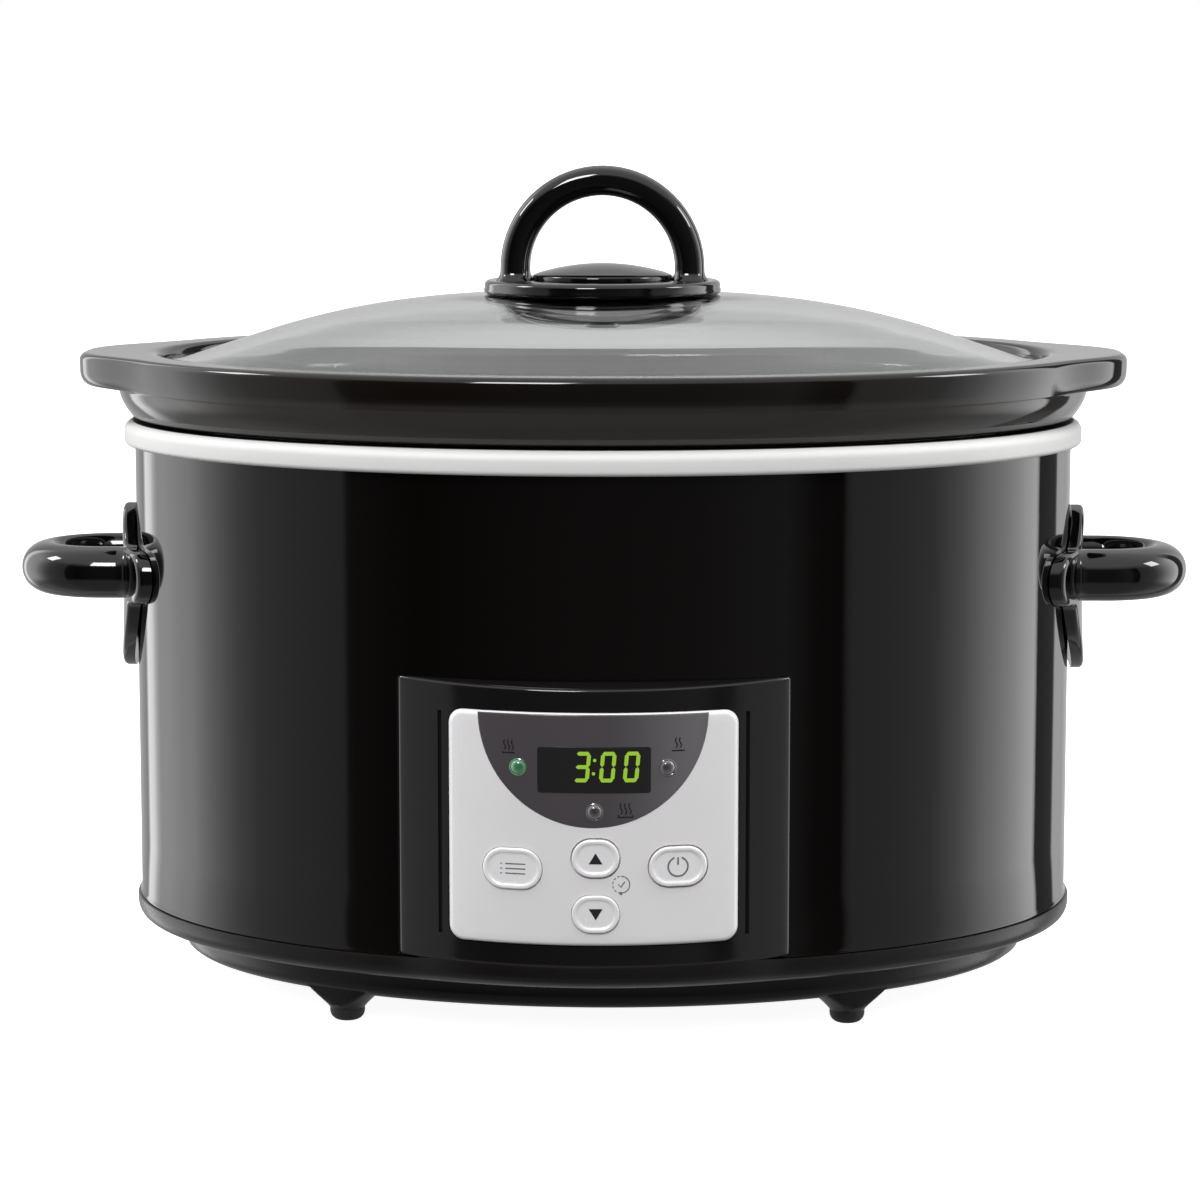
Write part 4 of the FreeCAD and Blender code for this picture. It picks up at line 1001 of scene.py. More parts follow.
def build_housing():
    half, low, high = HOUSING_HIGH.x, HOUSING_LOW.z, HOUSING_HIGH.z
    centre = (0.0, (low + high) / 2)
    outline = rounded_box(half, (high - low) / 2, 1.4, centre, side=26, corner=6)
    plate_centre = (0.0, (PLATE_LOW.z + PLATE_HIGH.z) / 2)
    seat = rounded_box(PLATE_HIGH.x + 0.25, (PLATE_HIGH.z - PLATE_LOW.z) / 2 + 0.25, 4.75, plate_centre,
                       side=26, corner=6)

    def lean(x, y, z):
        """The top falls towards the front."""
        top = high - 2.4 + (y + 140.0) * math.tan(math.radians(HOUSING_LEAN))
        share = max(z - LEAN_FROM, 0.0) / (high - LEAN_FROM)
        return (x, y, z + share * (top - high))

    def front(x, z, lift):
        return lean(*on_panel(x, z, lift))

    def back(x, z):
        y = -(SHELL_SHORT + 0.3) * math.sqrt(1 - (x / (SHELL_LONG + 0.3)) ** 2)
        return lean(x, y, z)

    round_edge = 1.3
    rings = [[back(x, z) for x, z in outline]]
    shoulder = []
    for x, z in outline:
        spot = front(x, z, -round_edge)
        limit = back(x, z)
        shoulder.append(spot if spot[1] < limit[1] - 0.1 else (limit[0], limit[1] - 0.1, limit[2]))
    rings.append(shoulder)
    for step in range(1, 6):
        angle = math.radians(18.0 * step)
        drawn = inset(outline, round_edge * (1 - math.cos(angle)))
        rings.append([front(x, z, -round_edge + round_edge * math.sin(angle)) for x, z in drawn])
    edge = inset(outline, round_edge)
    for share in (0.15, 0.35, 0.55, 0.75, 0.9, 1.0):
        rings.append([front(a + (c - a) * share, b + (d - b) * share, 0.0) for (a, b), (c, d) in zip(edge, seat)])
    rings.append([front(x, z, -1.0) for x, z in seat])
    for step in range(1, 12):
        rings.append([front(x, z, -1.0) for x, z in shrink(seat, 1 - step / 12, plate_centre)])
    mesh = mesh_from("panel_housing", [loft(rings)], 32)
    slots = []
    for side in (-1, 1):
        near, far = sorted((side * SLOT_INNER, side * SLOT_OUTER))
        slots.append(cutter("slot", (near, -127.0, 37.5), (far, -118.0, 107.0)))
    for name in KEYS:
        slots.append(key_cutter("key_pocket", name, KEY_POCKET_GAP, -3.4, 0.5))
    mesh = carved("panel_housing", mesh, slots, 32)
    piece("panel_housing", mesh, panel_plastic(), BASE, ["control_housing"])


KEYS = ("menu", "up", "down", "power")


def key_outline(name, grow=0.0):
    low, high = span("key_" + name)
    half_wide, half_high = (high.x - low.x) / 2 + grow, (high.z - low.z) / 2 + grow
    (x, z), run = ((low.x + high.x) / 2, (low.z + high.z) / 2), half_wide - half_high
    right, left = arc((x + run, z), half_high, -90, 90, 16), arc((x - run, z), half_high, 90, 270, 16)
    along = [run * (1 - step / 2) for step in range(1, 4)]
    return (right + [(x + spot, z + half_high) for spot in along] + left
            + [(x - spot, z - half_high) for spot in along])


def build_face_plate():
    centre = (0.0, (PLATE_LOW.z + PLATE_HIGH.z) / 2)
    outline = rounded_box(PLATE_HIGH.x, (PLATE_HIGH.z - PLATE_LOW.z) / 2, 4.5, centre, side=26, corner=8)
    mesh = mesh_from("silver_plate", [pad(outline, -0.7, PLATE_LIFT, 1.5, rings=18)], 40)
    cutters = [key_cutter("key_well", name, KEY_WELL_GAP[name], 0.1, PLATE_LIFT + 3.0) for name in KEYS]
    mesh = carved("silver_plate", mesh, cutters, 32)
    piece("silver_plate", mesh, silver_paint(), BASE, ["face_plate"])


def build_lens():
    radius, top = LENS_HIGH.x, LENS_HIGH.z + 0.5
    drop = PLATE_HIGH.z - top
    first = math.degrees(math.asin(drop / radius))
    bowl = arc((0.0, PLATE_HIGH.z), radius, 180 + first, 360 - first, 60)
    start, end = bowl[-1], bowl[0]
    outline = bowl + [(start[0] + (end[0] - start[0]) * k / 24, start[1]) for k in range(1, 24)]
    mesh = mesh_from("smoked_window", [pad(outline, 0.2, LENS_LIFT, 0.35, rings=14)], 40)
    piece("smoked_window", mesh, smoke(), BASE, ["display_lens"])

    window_low, window_high = span("display_module")
    half, tall = (window_high.x - window_low.x) / 2 + 0.4, (window_high.z - window_low.z) / 2 + 0.4
    centre = (0.4, (window_high.z + window_low.z) / 2)
    glass = rounded_box(half, tall, 0.8, centre, side=14, corner=4)
    mesh = mesh_from("display_glass", [pad(glass, LENS_LIFT - 0.1, LENS_LIFT + 0.12, 0.08, rings=6)], 40)
    piece("display_glass", mesh, display_black(), BASE)


def build_lamps():
    for name, paint, slot in (("low", lamp_green, "lamp_green"), ("high", lamp_clear, "lamp_clear"),
                              ("warm", lamp_clear, "lamp_clear")):
        low, high = span("indicator_lamp_" + name)
        x, z, radius = (low.x + high.x) / 2, (low.z + high.z) / 2, 2.4
        seat = on_panel(x, z, LENS_LIFT)[1]
        lean = math.asin(x / PANEL_CURVE)
        profile = [(radius + 0.3, 0.8), (radius + 0.3, -0.10), (radius + 0.05, -0.25), (radius - 0.25, -0.05)]
        profile += [(radius * math.cos(math.radians(a)) * 0.88, -0.05 - 1.1 * math.sin(math.radians(a)))
                    for a in range(10, 90, 10)]
        rings = []
        for ring_radius, push in profile:
            ring = []
            for k in range(36):
                across = ring_radius * math.cos(math.tau * k / 36)
                up = ring_radius * math.sin(math.tau * k / 36)
                ring.append((x + across * math.cos(lean) + push * -math.sin(lean),
                             seat + across * math.sin(lean) + push * math.cos(lean), z + up))
            rings.append(ring)
        mesh = mesh_from("lamp_" + name, [loft(rings)], 40)
        piece("lamp_" + name, mesh, paint(), BASE, ["indicator_lamp_" + name])


def wave_icon(x, z, waves, size=1.0):
    """Rising heat over a bar."""
    solids = []
    for k in range(waves):
        left = x + (k - (waves - 1) / 2) * 1.35 * size
        points = [(left + 0.32 * math.sin(step / 8 * math.tau) * size, z + 0.9 + 3.4 * step / 8 * size)
                  for step in range(9)]
        solids.append(stroke(points, 0.34, LENS_LIFT))
    solids.append(stroke([(x - 2.2 * size, z), (x, z), (x + 2.2 * size, z)], 0.34, LENS_LIFT))
    return solids


def build_icons():
    solids = wave_icon(-25.7, 95.6, 3, 0.9) + wave_icon(26.0, 96.4, 2, 0.9) + wave_icon(10.0, 76.2, 3, 1.0)
    solids.append(stroke([(7.8, 76.2), (7.8, 76.9)], 0.34, LENS_LIFT))
    solids.append(stroke([(12.2, 76.2), (12.2, 76.9)], 0.34, LENS_LIFT))
    mesh = mesh_from("heat_marks", solids)
    piece("heat_marks", mesh, lens_ink(), BASE)
    x, z, radius = 8.7, 55.3, 2.6
    ticks = [stroke(arc((x, z), radius, angle, angle + 16, 2), 0.3, PLATE_LIFT) for angle in range(100, 260, 30)]
    ticks.append(stroke(arc((x, z), radius, -90, 90, 14), 0.3, PLATE_LIFT))
    ticks.append(stroke([(x - 0.9, z + 0.1), (x - 0.1, z - 0.8), (x + 1.1, z + 0.9)], 0.34, PLATE_LIFT))
    ticks.append(stroke([(x - 0.5, z - radius - 0.1), (x + 0.3, z - radius - 0.1)], 0.9, PLATE_LIFT))
    piece("timer_mark", mesh_from("timer_mark", ticks), grey_ink(), BASE)


SEGMENTS = {"0": "abcdef", "1": "bc", "2": "abged", "3": "abgcd", "4": "fgbc", "5": "afgcd", "6": "afgedc",
            "7": "abc", "8": "abcdefg", "9": "abcdfg"}


# right end of the reading, gap between digits, and degrees that they lean
DIGIT_RIGHT, DIGIT_GAP, DIGIT_LEAN = 14.2, 2.55, 5.0


def build_digits():
    """Lit bars of a seven-bar display, repeated by geometry nodes and bent onto the window."""
    settings = bpy.context.scene.cooker_panel
    tall = settings.digit_height / MM
    wide, bar, right = tall * 0.50, tall * 0.125, DIGIT_RIGHT
    centre = (LENS_HIGH.z - 107.1) + 91.7
    long = wide - bar * 0.62
    points = [(-long / 2, 0, 0), (-long / 2 + bar / 2, 0, bar / 2), (long / 2 - bar / 2, 0, bar / 2), (long / 2, 0, 0),
              (long / 2 - bar / 2, 0, -bar / 2), (-long / 2 + bar / 2, 0, -bar / 2)]
    hexagon = [[(px, -0.04, pz) for px, _, pz in points], [(px, 0.04, pz) for px, _, pz in points]]
    bar_mesh = mesh_from("digit_bar", [loft(hexagon)])
    up = (0.0, math.pi / 2, 0.0)
    flat = (0.0, 0.0, 0.0)
    half, quarter = (tall - bar) / 2, (tall - bar) / 4
    side = (wide - bar) / 2
    places = {"a": ((0, half), flat), "d": ((0, -half), flat), "g": ((0, 0), flat), "b": ((side, quarter), up),
              "c": ((side, -quarter), up), "f": ((-side, quarter), up), "e": ((-side, -quarter), up)}
    spots, dots = [], []
    x = right - wide / 2
    for letter in reversed(settings.reading):
        if letter == ":":
            colon = x + wide / 2 + 0.75
            dots += [(colon, centre - quarter), (colon, centre + quarter)]
            x -= 0.5
            continue
        for name in SEGMENTS[letter]:
            (dx, dz), turn = places[name]
            spots.append(((x + dx, 0.0, centre + dz), turn))
        x -= wide + DIGIT_GAP
    paint = digit_glow()
    mesh = repeated("lit_digits", bar_mesh, spots, paint)
    bend_on_panel(mesh, centre)
    piece("lit_digits", mesh, paint, BASE)
    solids = []
    for dx, dz in dots:
        solids.append(pad(arc((dx + slant(dz, centre), dz), 0.52, 0, 330, 11), LENS_LIFT + 0.1, LENS_LIFT + 0.2, 0.04,
                          rings=2))
    if solids:
        piece("lit_colon", mesh_from("lit_colon", solids), paint, BASE)


def slant(height, centre):
    return (height - centre) * math.tan(math.radians(DIGIT_LEAN))


def bend_on_panel(mesh, centre):
    """Leans flat digits and lays them on the curved window."""
    for vertex in mesh.vertices:
        x, depth, z = vertex.co / MM
        spot = on_panel(x + slant(z, centre), z, LENS_LIFT + 0.16 - depth)
        vertex.co = Vector(spot) * MM
    mesh.update()


KEY_CAP_GROW, KEY_CAP_BACK, KEY_CAP_ROUND = 0.16, -0.4, 0.55
KEY_PROUD = 0.8
# (distance in from the edge of the face, rise) of the shallow hollow
KEY_DISH = ((0.5, 0.0), (0.75, -0.10), (1.0, -0.28), (1.25, -0.36))
PRINT_DEPTH = 0.37


def build_keys():
    marks = {"menu": menu_mark, "up": arrow_mark, "down": arrow_mark, "power": power_mark}
    for name in KEYS:
        low, high = span("key_" + name)
        lift = PLATE_LIFT + KEY_PROUD
        cap = pad(key_outline(name, KEY_CAP_GROW), KEY_CAP_BACK, lift, KEY_CAP_ROUND, dish=KEY_DISH, rings=8)
        mesh = mesh_from("soft_key_" + name, [cap], 50)
        piece("soft_key_" + name, mesh, silver_key(), "key_" + name, ["key_" + name])
        x, z = (low.x + high.x) / 2, (low.z + high.z) / 2
        solids = marks[name](x, z, lift - PRINT_DEPTH, 1 if name == "up" else -1)
        paint = ink() if name in ("up", "down") else grey_ink()
        piece("key_mark_" + name, mesh_from("key_mark_" + name, solids), paint, "key_" + name)


def menu_mark(x, z, lift, way):
    solids = []
    for row in (-1.5, 0.0, 1.5):
        solids.append(stroke([(x - 2.2, z + row), (x + 1.0, z + row), (x + 4.0, z + row)], 0.38, lift))
        solids.append(stroke([(x - 3.7, z + row), (x - 3.2, z + row)], 0.38, lift))
    return solids


def arrow_mark(x, z, lift, way):
    corners = [(x - 2.1, z - way * 1.7), (x + 2.1, z - way * 1.7), (x, z + way * 1.7)]
    if way < 0:
        corners.reverse()
    rings = [[on_panel(px, pz, lift) for px, pz in corners], [on_panel(px, pz, lift + 0.1) for px, pz in corners]]
    return [loft(rings)]


def power_mark(x, z, lift, way):
    return [stroke(arc((x, z), 3.0, 112, 428, 30), 0.5, lift),
            stroke([(x, z + 0.6), (x, z + 1.6), (x, z + 2.9)], 0.5, lift)]


# ---------------------------------------------------------------- base, feet and gland

TIER_GROW = -14.2
# (grow, height, share of the step forward under the control panel) round the wall of the base
BASE_WALL = [(-20.0, 12.3, 0), (-17.2, 12.5, 0), (-16.7, 13.6, 0), (-16.7, 22.0, 0), (-4.0, 22.6, 0),
             (-3.4, 23.2, 0), (-3.3, 32.6, 0), (-3.0, 33.0, 0), (-1.5, 33.0, 0), (-1.1, 32.5, 0), (-1.1, 28.0, 0),
             (-0.4, 27.95, 0.0), (0.7, 27.95, 1), (1.15, 27.8, 1), (1.3, 27.4, 1), (1.3, 25.6, 1), (1.28, 24.7, 0.99),
             (1.1, 23.8, 0.95), (0.75, 22.9, 0.87), (0.2, 22.0, 0.74), (-0.6, 21.3, 0.56), (-1.8, 20.7, 0.36),
             (-3.6, 20.2, 0.16), (-6.0, 19.9, 0.05), (-12.6, 19.6, 0), (-13.8, 19.3, 0), (-14.2, 18.6, 0),
             (-14.2, 14.2, 0), (-14.4, 12.6, 0), (-15.1, 11.1, 0), (-16.4, 10.1, 0), (-18.2, 9.72, 0)]


def step_forward(x):
    """How far the base comes forward at X to meet the foot of the control panel."""
    if abs(x) > PANEL_CURVE - 20.0:
        return 0.0
    ledge = -(SHELL_SHORT + 1.3) * math.sqrt(1 - (x / (SHELL_LONG + 1.3)) ** 2)
    return blend_low(ledge, PANEL_AXIS - math.sqrt((PANEL_CURVE - 0.03) ** 2 - x * x), 2.0) - ledge


def build_base():
    steps = bpy.context.scene.cooker_body.steps
    rings = []
    for grow, height, share in [(-60.0, 12.3, 0)] + BASE_WALL + [(-60.0, 9.7, 0)]:
        ring = []
        for x, y, z in oval_ring(grow, height, steps):
            step = step_forward(x) * share if y < 0 else 0.0
            ring.append((x, y + step, z + (1.3 * min(-step / 3.0, 1.0) if z > 27.0 else 0.0)))
        rings.append(ring)
    tools = []
    for side in (-1, 1):
        for column in range(5):
            near, far = sorted((side * (88.0 + 8.0 * column), side * (91.0 + 8.0 * column)))
            tools.append(cutter("vent", (near, -14.0, 8.0), (far, 14.0, 14.0)))
    for x, y in ((-60, -60), (60, -60), (-60, 60), (60, 60), (0, 0)):
        well = mesh_from("screw_well", [turned([(7.0 if x == 0 else 3.9, 8.0), (7.0 if x == 0 else 3.9, 14.0)],
                                               (x, y), 40)])
        tools.append(link_object(bpy.data.objects.new("screw_well", well)))
    mesh = carved("base_tray", mesh_from("base_tray", [loft(rings)]), tools, 35)
    piece("base_tray", mesh, base_plastic(), BASE, ["base_housing"])

    bound_long, bound_short = SHELL_LONG + TIER_GROW - 0.8, SHELL_SHORT + TIER_GROW - 0.8
    solids = []
    for right, front in ((-1, -1), (1, -1), (-1, 1), (1, 1)):
        name = "foot_%s_%s" % ("front" if front < 0 else "rear", "left" if right < 0 else "right")
        low, high = span(name)
        centre = ((low.x + high.x) / 2, (low.y + high.y) / 2)
        radius = (high.x - low.x) / 2
        rings = []
        for share in (0.0, 0.03, 0.1, 0.2, 0.35, 0.5, 0.65, 0.8, 1.0):
            across = radius + 0.05 + 8.8 * share ** 1.15
            ring = []
            for k in range(72):
                x = centre[0] + across * math.cos(math.tau * k / 72)
                y = centre[1] + across * math.sin(math.tau * k / 72)
                limit = bound_short * math.sqrt(1 - (x / bound_long) ** 2)
                ring.append((x, max(min(y, limit), -limit), 4.2 + 8.2 * share))
            rings.append(ring)
        solids.append(loft(rings))
    piece("foot_fairings", mesh_from("foot_fairings", solids, 40), base_plastic(), BASE)


def build_feet():
    radius, high = FOOT_HIGH.x - (FOOT_LOW.x + FOOT_HIGH.x) / 2, 4.2
    profile = [(1.2, 0.0), (2.4, 0.0)] + arc((radius - 3.1, 3.1), 3.1, -84, 0, 10)
    profile += [(radius, high - 0.05), (2.9, high + 0.1), (2.9, high + 4.4)]
    foot = mesh_from("foot_shape", [turned(profile, steps=48)], 40)
    names = ["foot_front_left", "foot_front_right", "foot_rear_left", "foot_rear_right"]
    spots = []
    for name in names:
        low, high_corner = span(name)
        spots.append((((low.x + high_corner.x) / 2, (low.y + high_corner.y) / 2, 0.0), (0.0, 0.0, 0.0)))
    material = rubber()
    mesh = repeated("rubber_feet", foot, spots, material, 40)
    piece("rubber_feet", mesh, material, BASE, names)


def build_gland():
    x, z, end, bore = 0.0, (GLAND_LOW.z + GLAND_HIGH.z) / 2, GLAND_HIGH.y, 3.75
    profile = [(bore, 114.0), (6.0, 114.0), (6.0, 116.8), (8.5, 116.8), (8.5, 118.8), (6.0, 118.8),
               (6.0, SHELL_SHORT + 0.35), (9.5, SHELL_SHORT + 0.35), (9.5, SHELL_SHORT + 2.4),
               (8.6, SHELL_SHORT + 3.3), (6.6, SHELL_SHORT + 3.4)]
    for k in range(4):
        start = SHELL_SHORT + 4.2 + k * 1.9
        profile += [(6.0, start), (6.0, start + 0.9), (5.4, start + 1.0), (5.4, start + 1.7)]
    profile += [(6.0, end - 0.5), (5.5, end), (bore + 0.5, end), (bore, end - 0.5)]
    rings = [[(x + radius * math.cos(math.tau * k / 48), y, z + radius * math.sin(math.tau * k / 48))
              for k in range(48)] for radius, y in profile]
    mesh = mesh_from("cord_bush", [loft(rings, wrap=True)], 32)
    piece("cord_bush", mesh, base_plastic(), BASE, ["cord_gland"])


# ---------------------------------------------------------------- inner parts

CARRIED = {
    well_metal: ["heating_well"],
    foil: ["heater_band"],
    sheet_steel: ["heat_shield", "sensor_clip"],
    zinc: ["base_screws", "heater_clamp_bolts", "centre_stud", "stud_nut", "temperature_sensor", "thermal_fuse",
           "board_screws", "handle_screws_left", "handle_screws_right", "lid_screw"],
    circuit_board: ["power_board", "control_board"],
    moulded_dark: ["power_relay", "filter_capacitor", "transformer", "key_switches"],
    nylon: ["fuse_clip", "terminal_block"],
    display_black: ["display_module"],
    silicone: ["lid_washer"],
}


def build_inner_finishes():
    for paint, names in CARRIED.items():
        for name in names:
            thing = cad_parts[name]
            thing.data.materials.clear()
            thing.data.materials.append(paint())


# ---------------------------------------------------------------- studio

# (share of the way round from the left of the back, brightness) of the soft studio walls
STUDIO_WALLS = [(0.000, 0.22), (0.096, 0.25), (0.104, 1.00), (0.120, 1.05), (0.130, 0.72), (0.140, 0.56),
                (0.160, 0.70), (0.205, 0.82), (0.235, 0.55), (0.262, 0.31), (0.285, 0.20), (0.320, 0.155),
                (0.3515, 0.128), (0.3560, 0.022), (0.40, 0.006), (0.45, 0.016), (0.50, 0.024), (0.55, 0.032),
                (0.602, 0.058), (0.620, 0.016), (0.6370, 0.012), (0.6420, 0.135), (0.670, 0.148), (0.705, 0.20),
                (0.735, 0.42), (0.760, 0.72), (0.800, 1.00), (0.818, 1.12), (0.838, 1.12), (0.8435, 0.05),
                (0.886, 0.05), (0.891, 0.50), (0.925, 0.30), (1.000, 0.22)]
# stop at which one colour ramp hands over to the next
WALL_SPLIT = 15
WALL_POWER = 2.8
CEILING_LIGHT = 1.1
# light from below: share of the walls, and what is added
TABLE_LIGHT = (0.15, 0.32)

# (name, place, size, share of the fill, seen in reflections)
SOFT_LAMPS = [("front_fill", (-0.4, -2.0, 1.3), 1.2, 2.0, False),
              ("top_soft", (0.2, -0.1, 1.9), 1.6, 2.2, False),
              ("key_box", (-0.37, -1.22, 1.27), 0.45, 1.6, True),
              ("left_box", (-1.45, 0.12, 1.30), 0.40, 0.9, True),
              ("right_box", (1.35, -0.15, 1.05), 0.40, 0.7, True)]
FLOOR_REACH, FLOOR_GLOW = 40.0, 0.92
CAMERA_SHIFT = -2.5 / 1200


def level_share(make, height, start, end):
    """How far HEIGHT has gone from START to END, from nought to one."""
    return make.add("ShaderNodeMapRange", {"Value": height, "From Min": start, "From Max": end,
                                           "To Min": 0.0, "To Max": 1.0}, interpolation_type="SMOOTHSTEP").outputs[0]


def build_world():
    world = bpy.data.worlds.new("studio")
    bpy.context.scene.world = world
    world.use_nodes = True
    tree = world.node_tree
    tree.nodes.clear()
    make = Maker(tree)
    way = make.add("ShaderNodeSeparateXYZ", {0: make.add("ShaderNodeTexCoord").outputs["Generated"]})
    towards = make.math("MULTIPLY", way.outputs["Y"], -1.0)
    around = make.math("ARCTAN2", way.outputs["X"], towards)
    share = make.math("MULTIPLY_ADD", around, 0.5 / math.pi, 0.5)
    ramps = []
    for first, last in ((0, WALL_SPLIT + 1), (WALL_SPLIT, len(STUDIO_WALLS))):
        ramps.append(wall_ramp(make, share, STUDIO_WALLS[first:last]))
    left = make.math("LESS_THAN", share, STUDIO_WALLS[WALL_SPLIT][0])
    walls = make.add("ShaderNodeMix", {"Factor": left, "A": ramps[1], "B": ramps[0]}, data_type="FLOAT").outputs[0]
    walls = make.math("MULTIPLY", walls, WALL_POWER)
    ceiling = level_share(make, way.outputs["Z"], 0.45, 0.75)
    table = level_share(make, way.outputs["Z"], -0.30, -0.55)
    level = make.add("ShaderNodeMix", {"Factor": ceiling, "A": walls, "B": CEILING_LIGHT}, data_type="FLOAT")
    below = make.math("MULTIPLY_ADD", walls, *TABLE_LIGHT)
    level = make.add("ShaderNodeMix", {"Factor": table, "A": level.outputs[0], "B": below},
                     data_type="FLOAT").outputs[0]
    seen = make.add("ShaderNodeLightPath").outputs["Is Camera Ray"]
    strength = make.add("ShaderNodeMix", {"Factor": seen, "A": level, "B": 1.0}, data_type="FLOAT").outputs[0]
    background = make.add("ShaderNodeBackground", {"Strength": strength})
    background.inputs["Color"].default_value = (1.0, 1.0, 1.0, 1.0)
    output = make.add("ShaderNodeOutputWorld")
    make.link(background.outputs[0], output.inputs["Surface"])


def wall_ramp(make, share, stops):
    """A colour ramp through (share, brightness) stops."""
    ramp = make.add("ShaderNodeValToRGB", {"Fac": share})
    points = ramp.color_ramp.elements
    points[0].position, points[1].position = stops[0][0], stops[-1][0]
    points[0].color = (stops[0][1],) * 3 + (1.0,)
    points[1].color = (stops[-1][1],) * 3 + (1.0,)
    for position, bright in stops[1:-1]:
        points.new(position).color = (bright,) * 3 + (1.0,)
    return ramp.outputs["Color"]


def soft_lamp(name, place, size, power, glossy):
    """A square soft lamp aimed at the middle of the cooker."""
    light = bpy.data.lights.new(name, "AREA")
    light.size = size
    light.energy = power
    lamp = link_object(bpy.data.objects.new(name, light))
    lamp.location = place
    lamp.rotation_euler = (Vector((0.0, 0.0, 0.12)) - Vector(place)).to_track_quat("-Z", "Y").to_euler()
    lamp.visible_camera = False
    lamp.visible_glossy = glossy
    lamp.visible_transmission = glossy
    return lamp


def build_stage():
    settings = bpy.context.scene.cooker_studio
    floor_mesh = bpy.data.meshes.new("table_top")
    ring = [(FLOOR_REACH * math.cos(math.tau * k / 96), FLOOR_REACH * math.sin(math.tau * k / 96), 0.0)
            for k in range(96)]
    floor_mesh.from_pydata(ring, [], [tuple(range(96))])
    floor_mesh.materials.append(finish("table_white", (0.80, 0.80, 0.80), (0.5, 0.7), grain=(30.0, 0.02), tone=0.01,
                                       Emission_Color=(1.0, 1.0, 1.0, 1.0), Emission_Strength=FLOOR_GLOW))
    floor = link_object(bpy.data.objects.new("table_top", floor_mesh))
    floor.visible_glossy = False
    floor.visible_diffuse = False
    floor.visible_transmission = False
    build_world()
    for name, place, size, share, glossy in SOFT_LAMPS:
        soft_lamp(name, place, size, settings.fill * share, glossy)
    camera_data = bpy.data.cameras.new("view")
    camera_data.lens = settings.lens
    camera_data.sensor_width = 36.0
    camera_data.shift_x = CAMERA_SHIFT
    camera = link_object(bpy.data.objects.new("view", camera_data))
    camera.location = (settings.distance * math.sin(settings.turn), -settings.distance * math.cos(settings.turn),
                       settings.height)
    camera.rotation_euler = (math.pi / 2 - settings.tilt, 0.0, settings.turn)
    bpy.context.scene.camera = camera
    bpy.context.scene.view_settings.view_transform = "Standard"


# ---------------------------------------------------------------- operators

class CookerOperator:
    """Runs its build functions in order."""

    bl_options = {"REGISTER", "UNDO"}
    builders = ()

    def execute(self, context):
        for build in self.builders:
            build()
        return {"FINISHED"}


class COOKER_OT_steel_body(CookerOperator, bpy.types.Operator):
    """Make the enamelled shell and the metal rim"""

    bl_idname = "cooker.steel_body"
    bl_label = "Steel Body"
    builders = (build_steel_body,)


class COOKER_OT_crock(CookerOperator, bpy.types.Operator):
    """Make the glazed stoneware crock"""

    bl_idname = "cooker.crock"
    bl_label = "Crock"
    builders = (build_crock,)


class COOKER_OT_lid(CookerOperator, bpy.types.Operator):
    """Make the glass lid with its arch knob"""

    bl_idname = "cooker.lid"
    bl_label = "Lid"
    builders = (build_lid,)


class COOKER_OT_handles(CookerOperator, bpy.types.Operator):
    """Make the two loop handles and their plates"""

    bl_idname = "cooker.handles"
    bl_label = "Side Handles"
    builders = (build_handles,)


class COOKER_OT_panel(CookerOperator, bpy.types.Operator):
    """Make the control housing, face plate, window and marks"""

    bl_idname = "cooker.panel"
    bl_label = "Control Panel"
    builders = (build_housing, build_face_plate, build_lens, build_icons)


class COOKER_OT_display(CookerOperator, bpy.types.Operator):
    """Make the lit digits and indicator lamps"""

    bl_idname = "cooker.display"
    bl_label = "Display"
    builders = (build_digits, build_lamps)


class COOKER_OT_keys(CookerOperator, bpy.types.Operator):
    """Make the four keys and their marks"""

    bl_idname = "cooker.keys"
    bl_label = "Keys"
    builders = (build_keys,)


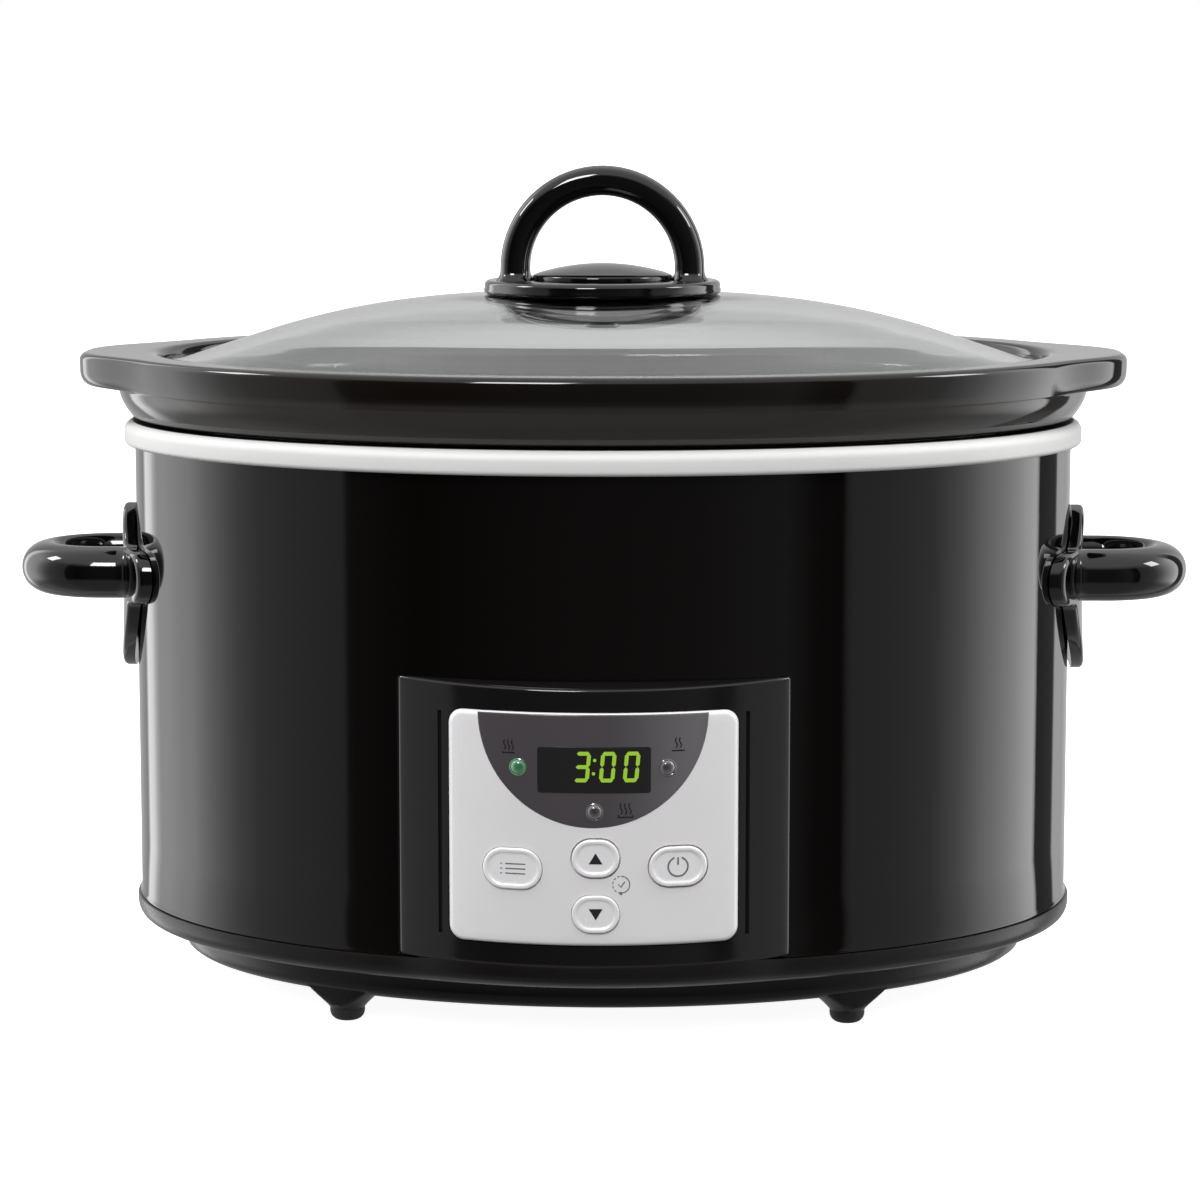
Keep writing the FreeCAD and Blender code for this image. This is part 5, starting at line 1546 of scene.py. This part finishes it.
class COOKER_OT_base(CookerOperator, bpy.types.Operator):
    """Make the base, its rubber feet and the cord bush"""

    bl_idname = "cooker.base"
    bl_label = "Base, Feet and Cord Bush"
    builders = (build_base, build_feet, build_gland)


class COOKER_OT_inner(CookerOperator, bpy.types.Operator):
    """Give every carried-over part its finish"""

    bl_idname = "cooker.inner"
    bl_label = "Inner Parts"
    builders = (build_inner_finishes,)


class COOKER_OT_stage(CookerOperator, bpy.types.Operator):
    """Make the table, light and camera"""

    bl_idname = "cooker.stage"
    bl_label = "Stage"
    builders = (build_stage,)


OPERATORS = (COOKER_OT_steel_body, COOKER_OT_crock, COOKER_OT_lid, COOKER_OT_handles, COOKER_OT_panel,
             COOKER_OT_display, COOKER_OT_keys, COOKER_OT_base, COOKER_OT_inner, COOKER_OT_stage)
SETTINGS = {"cooker_body": CookerBodySettings, "cooker_pot": CookerPotSettings,
            "cooker_panel": CookerPanelSettings, "cooker_studio": CookerStudioSettings}


class COOKER_PT_pieces(bpy.types.Panel):
    """Lists the pieces and their settings"""

    bl_idname = "COOKER_PT_pieces"
    bl_label = "Slow Cooker"
    bl_space_type = "VIEW_3D"
    bl_region_type = "UI"
    bl_category = "Slow Cooker"

    def draw(self, context):
        for name in SETTINGS:
            settings = getattr(context.scene, name)
            box = self.layout.box()
            for item in settings.bl_rna.properties:
                if item.identifier not in ("rna_type", "name"):
                    box.prop(settings, item.identifier)
        for operator in OPERATORS:
            self.layout.operator(operator.bl_idname)


def register():
    for group in SETTINGS.values():
        bpy.utils.register_class(group)
    for name, group in SETTINGS.items():
        setattr(bpy.types.Scene, name, PointerProperty(type=group))
    for operator in OPERATORS:
        bpy.utils.register_class(operator)
    bpy.utils.register_class(COOKER_PT_pieces)


def unregister():
    bpy.utils.unregister_class(COOKER_PT_pieces)
    for operator in reversed(OPERATORS):
        bpy.utils.unregister_class(operator)
    for name in SETTINGS:
        delattr(bpy.types.Scene, name)
    for group in reversed(SETTINGS.values()):
        bpy.utils.unregister_class(group)


def main():
    register()
    for operator in OPERATORS:
        family, name = operator.bl_idname.split(".")
        getattr(getattr(bpy.ops, family), name)()


if __name__ == "__main__":
    main()
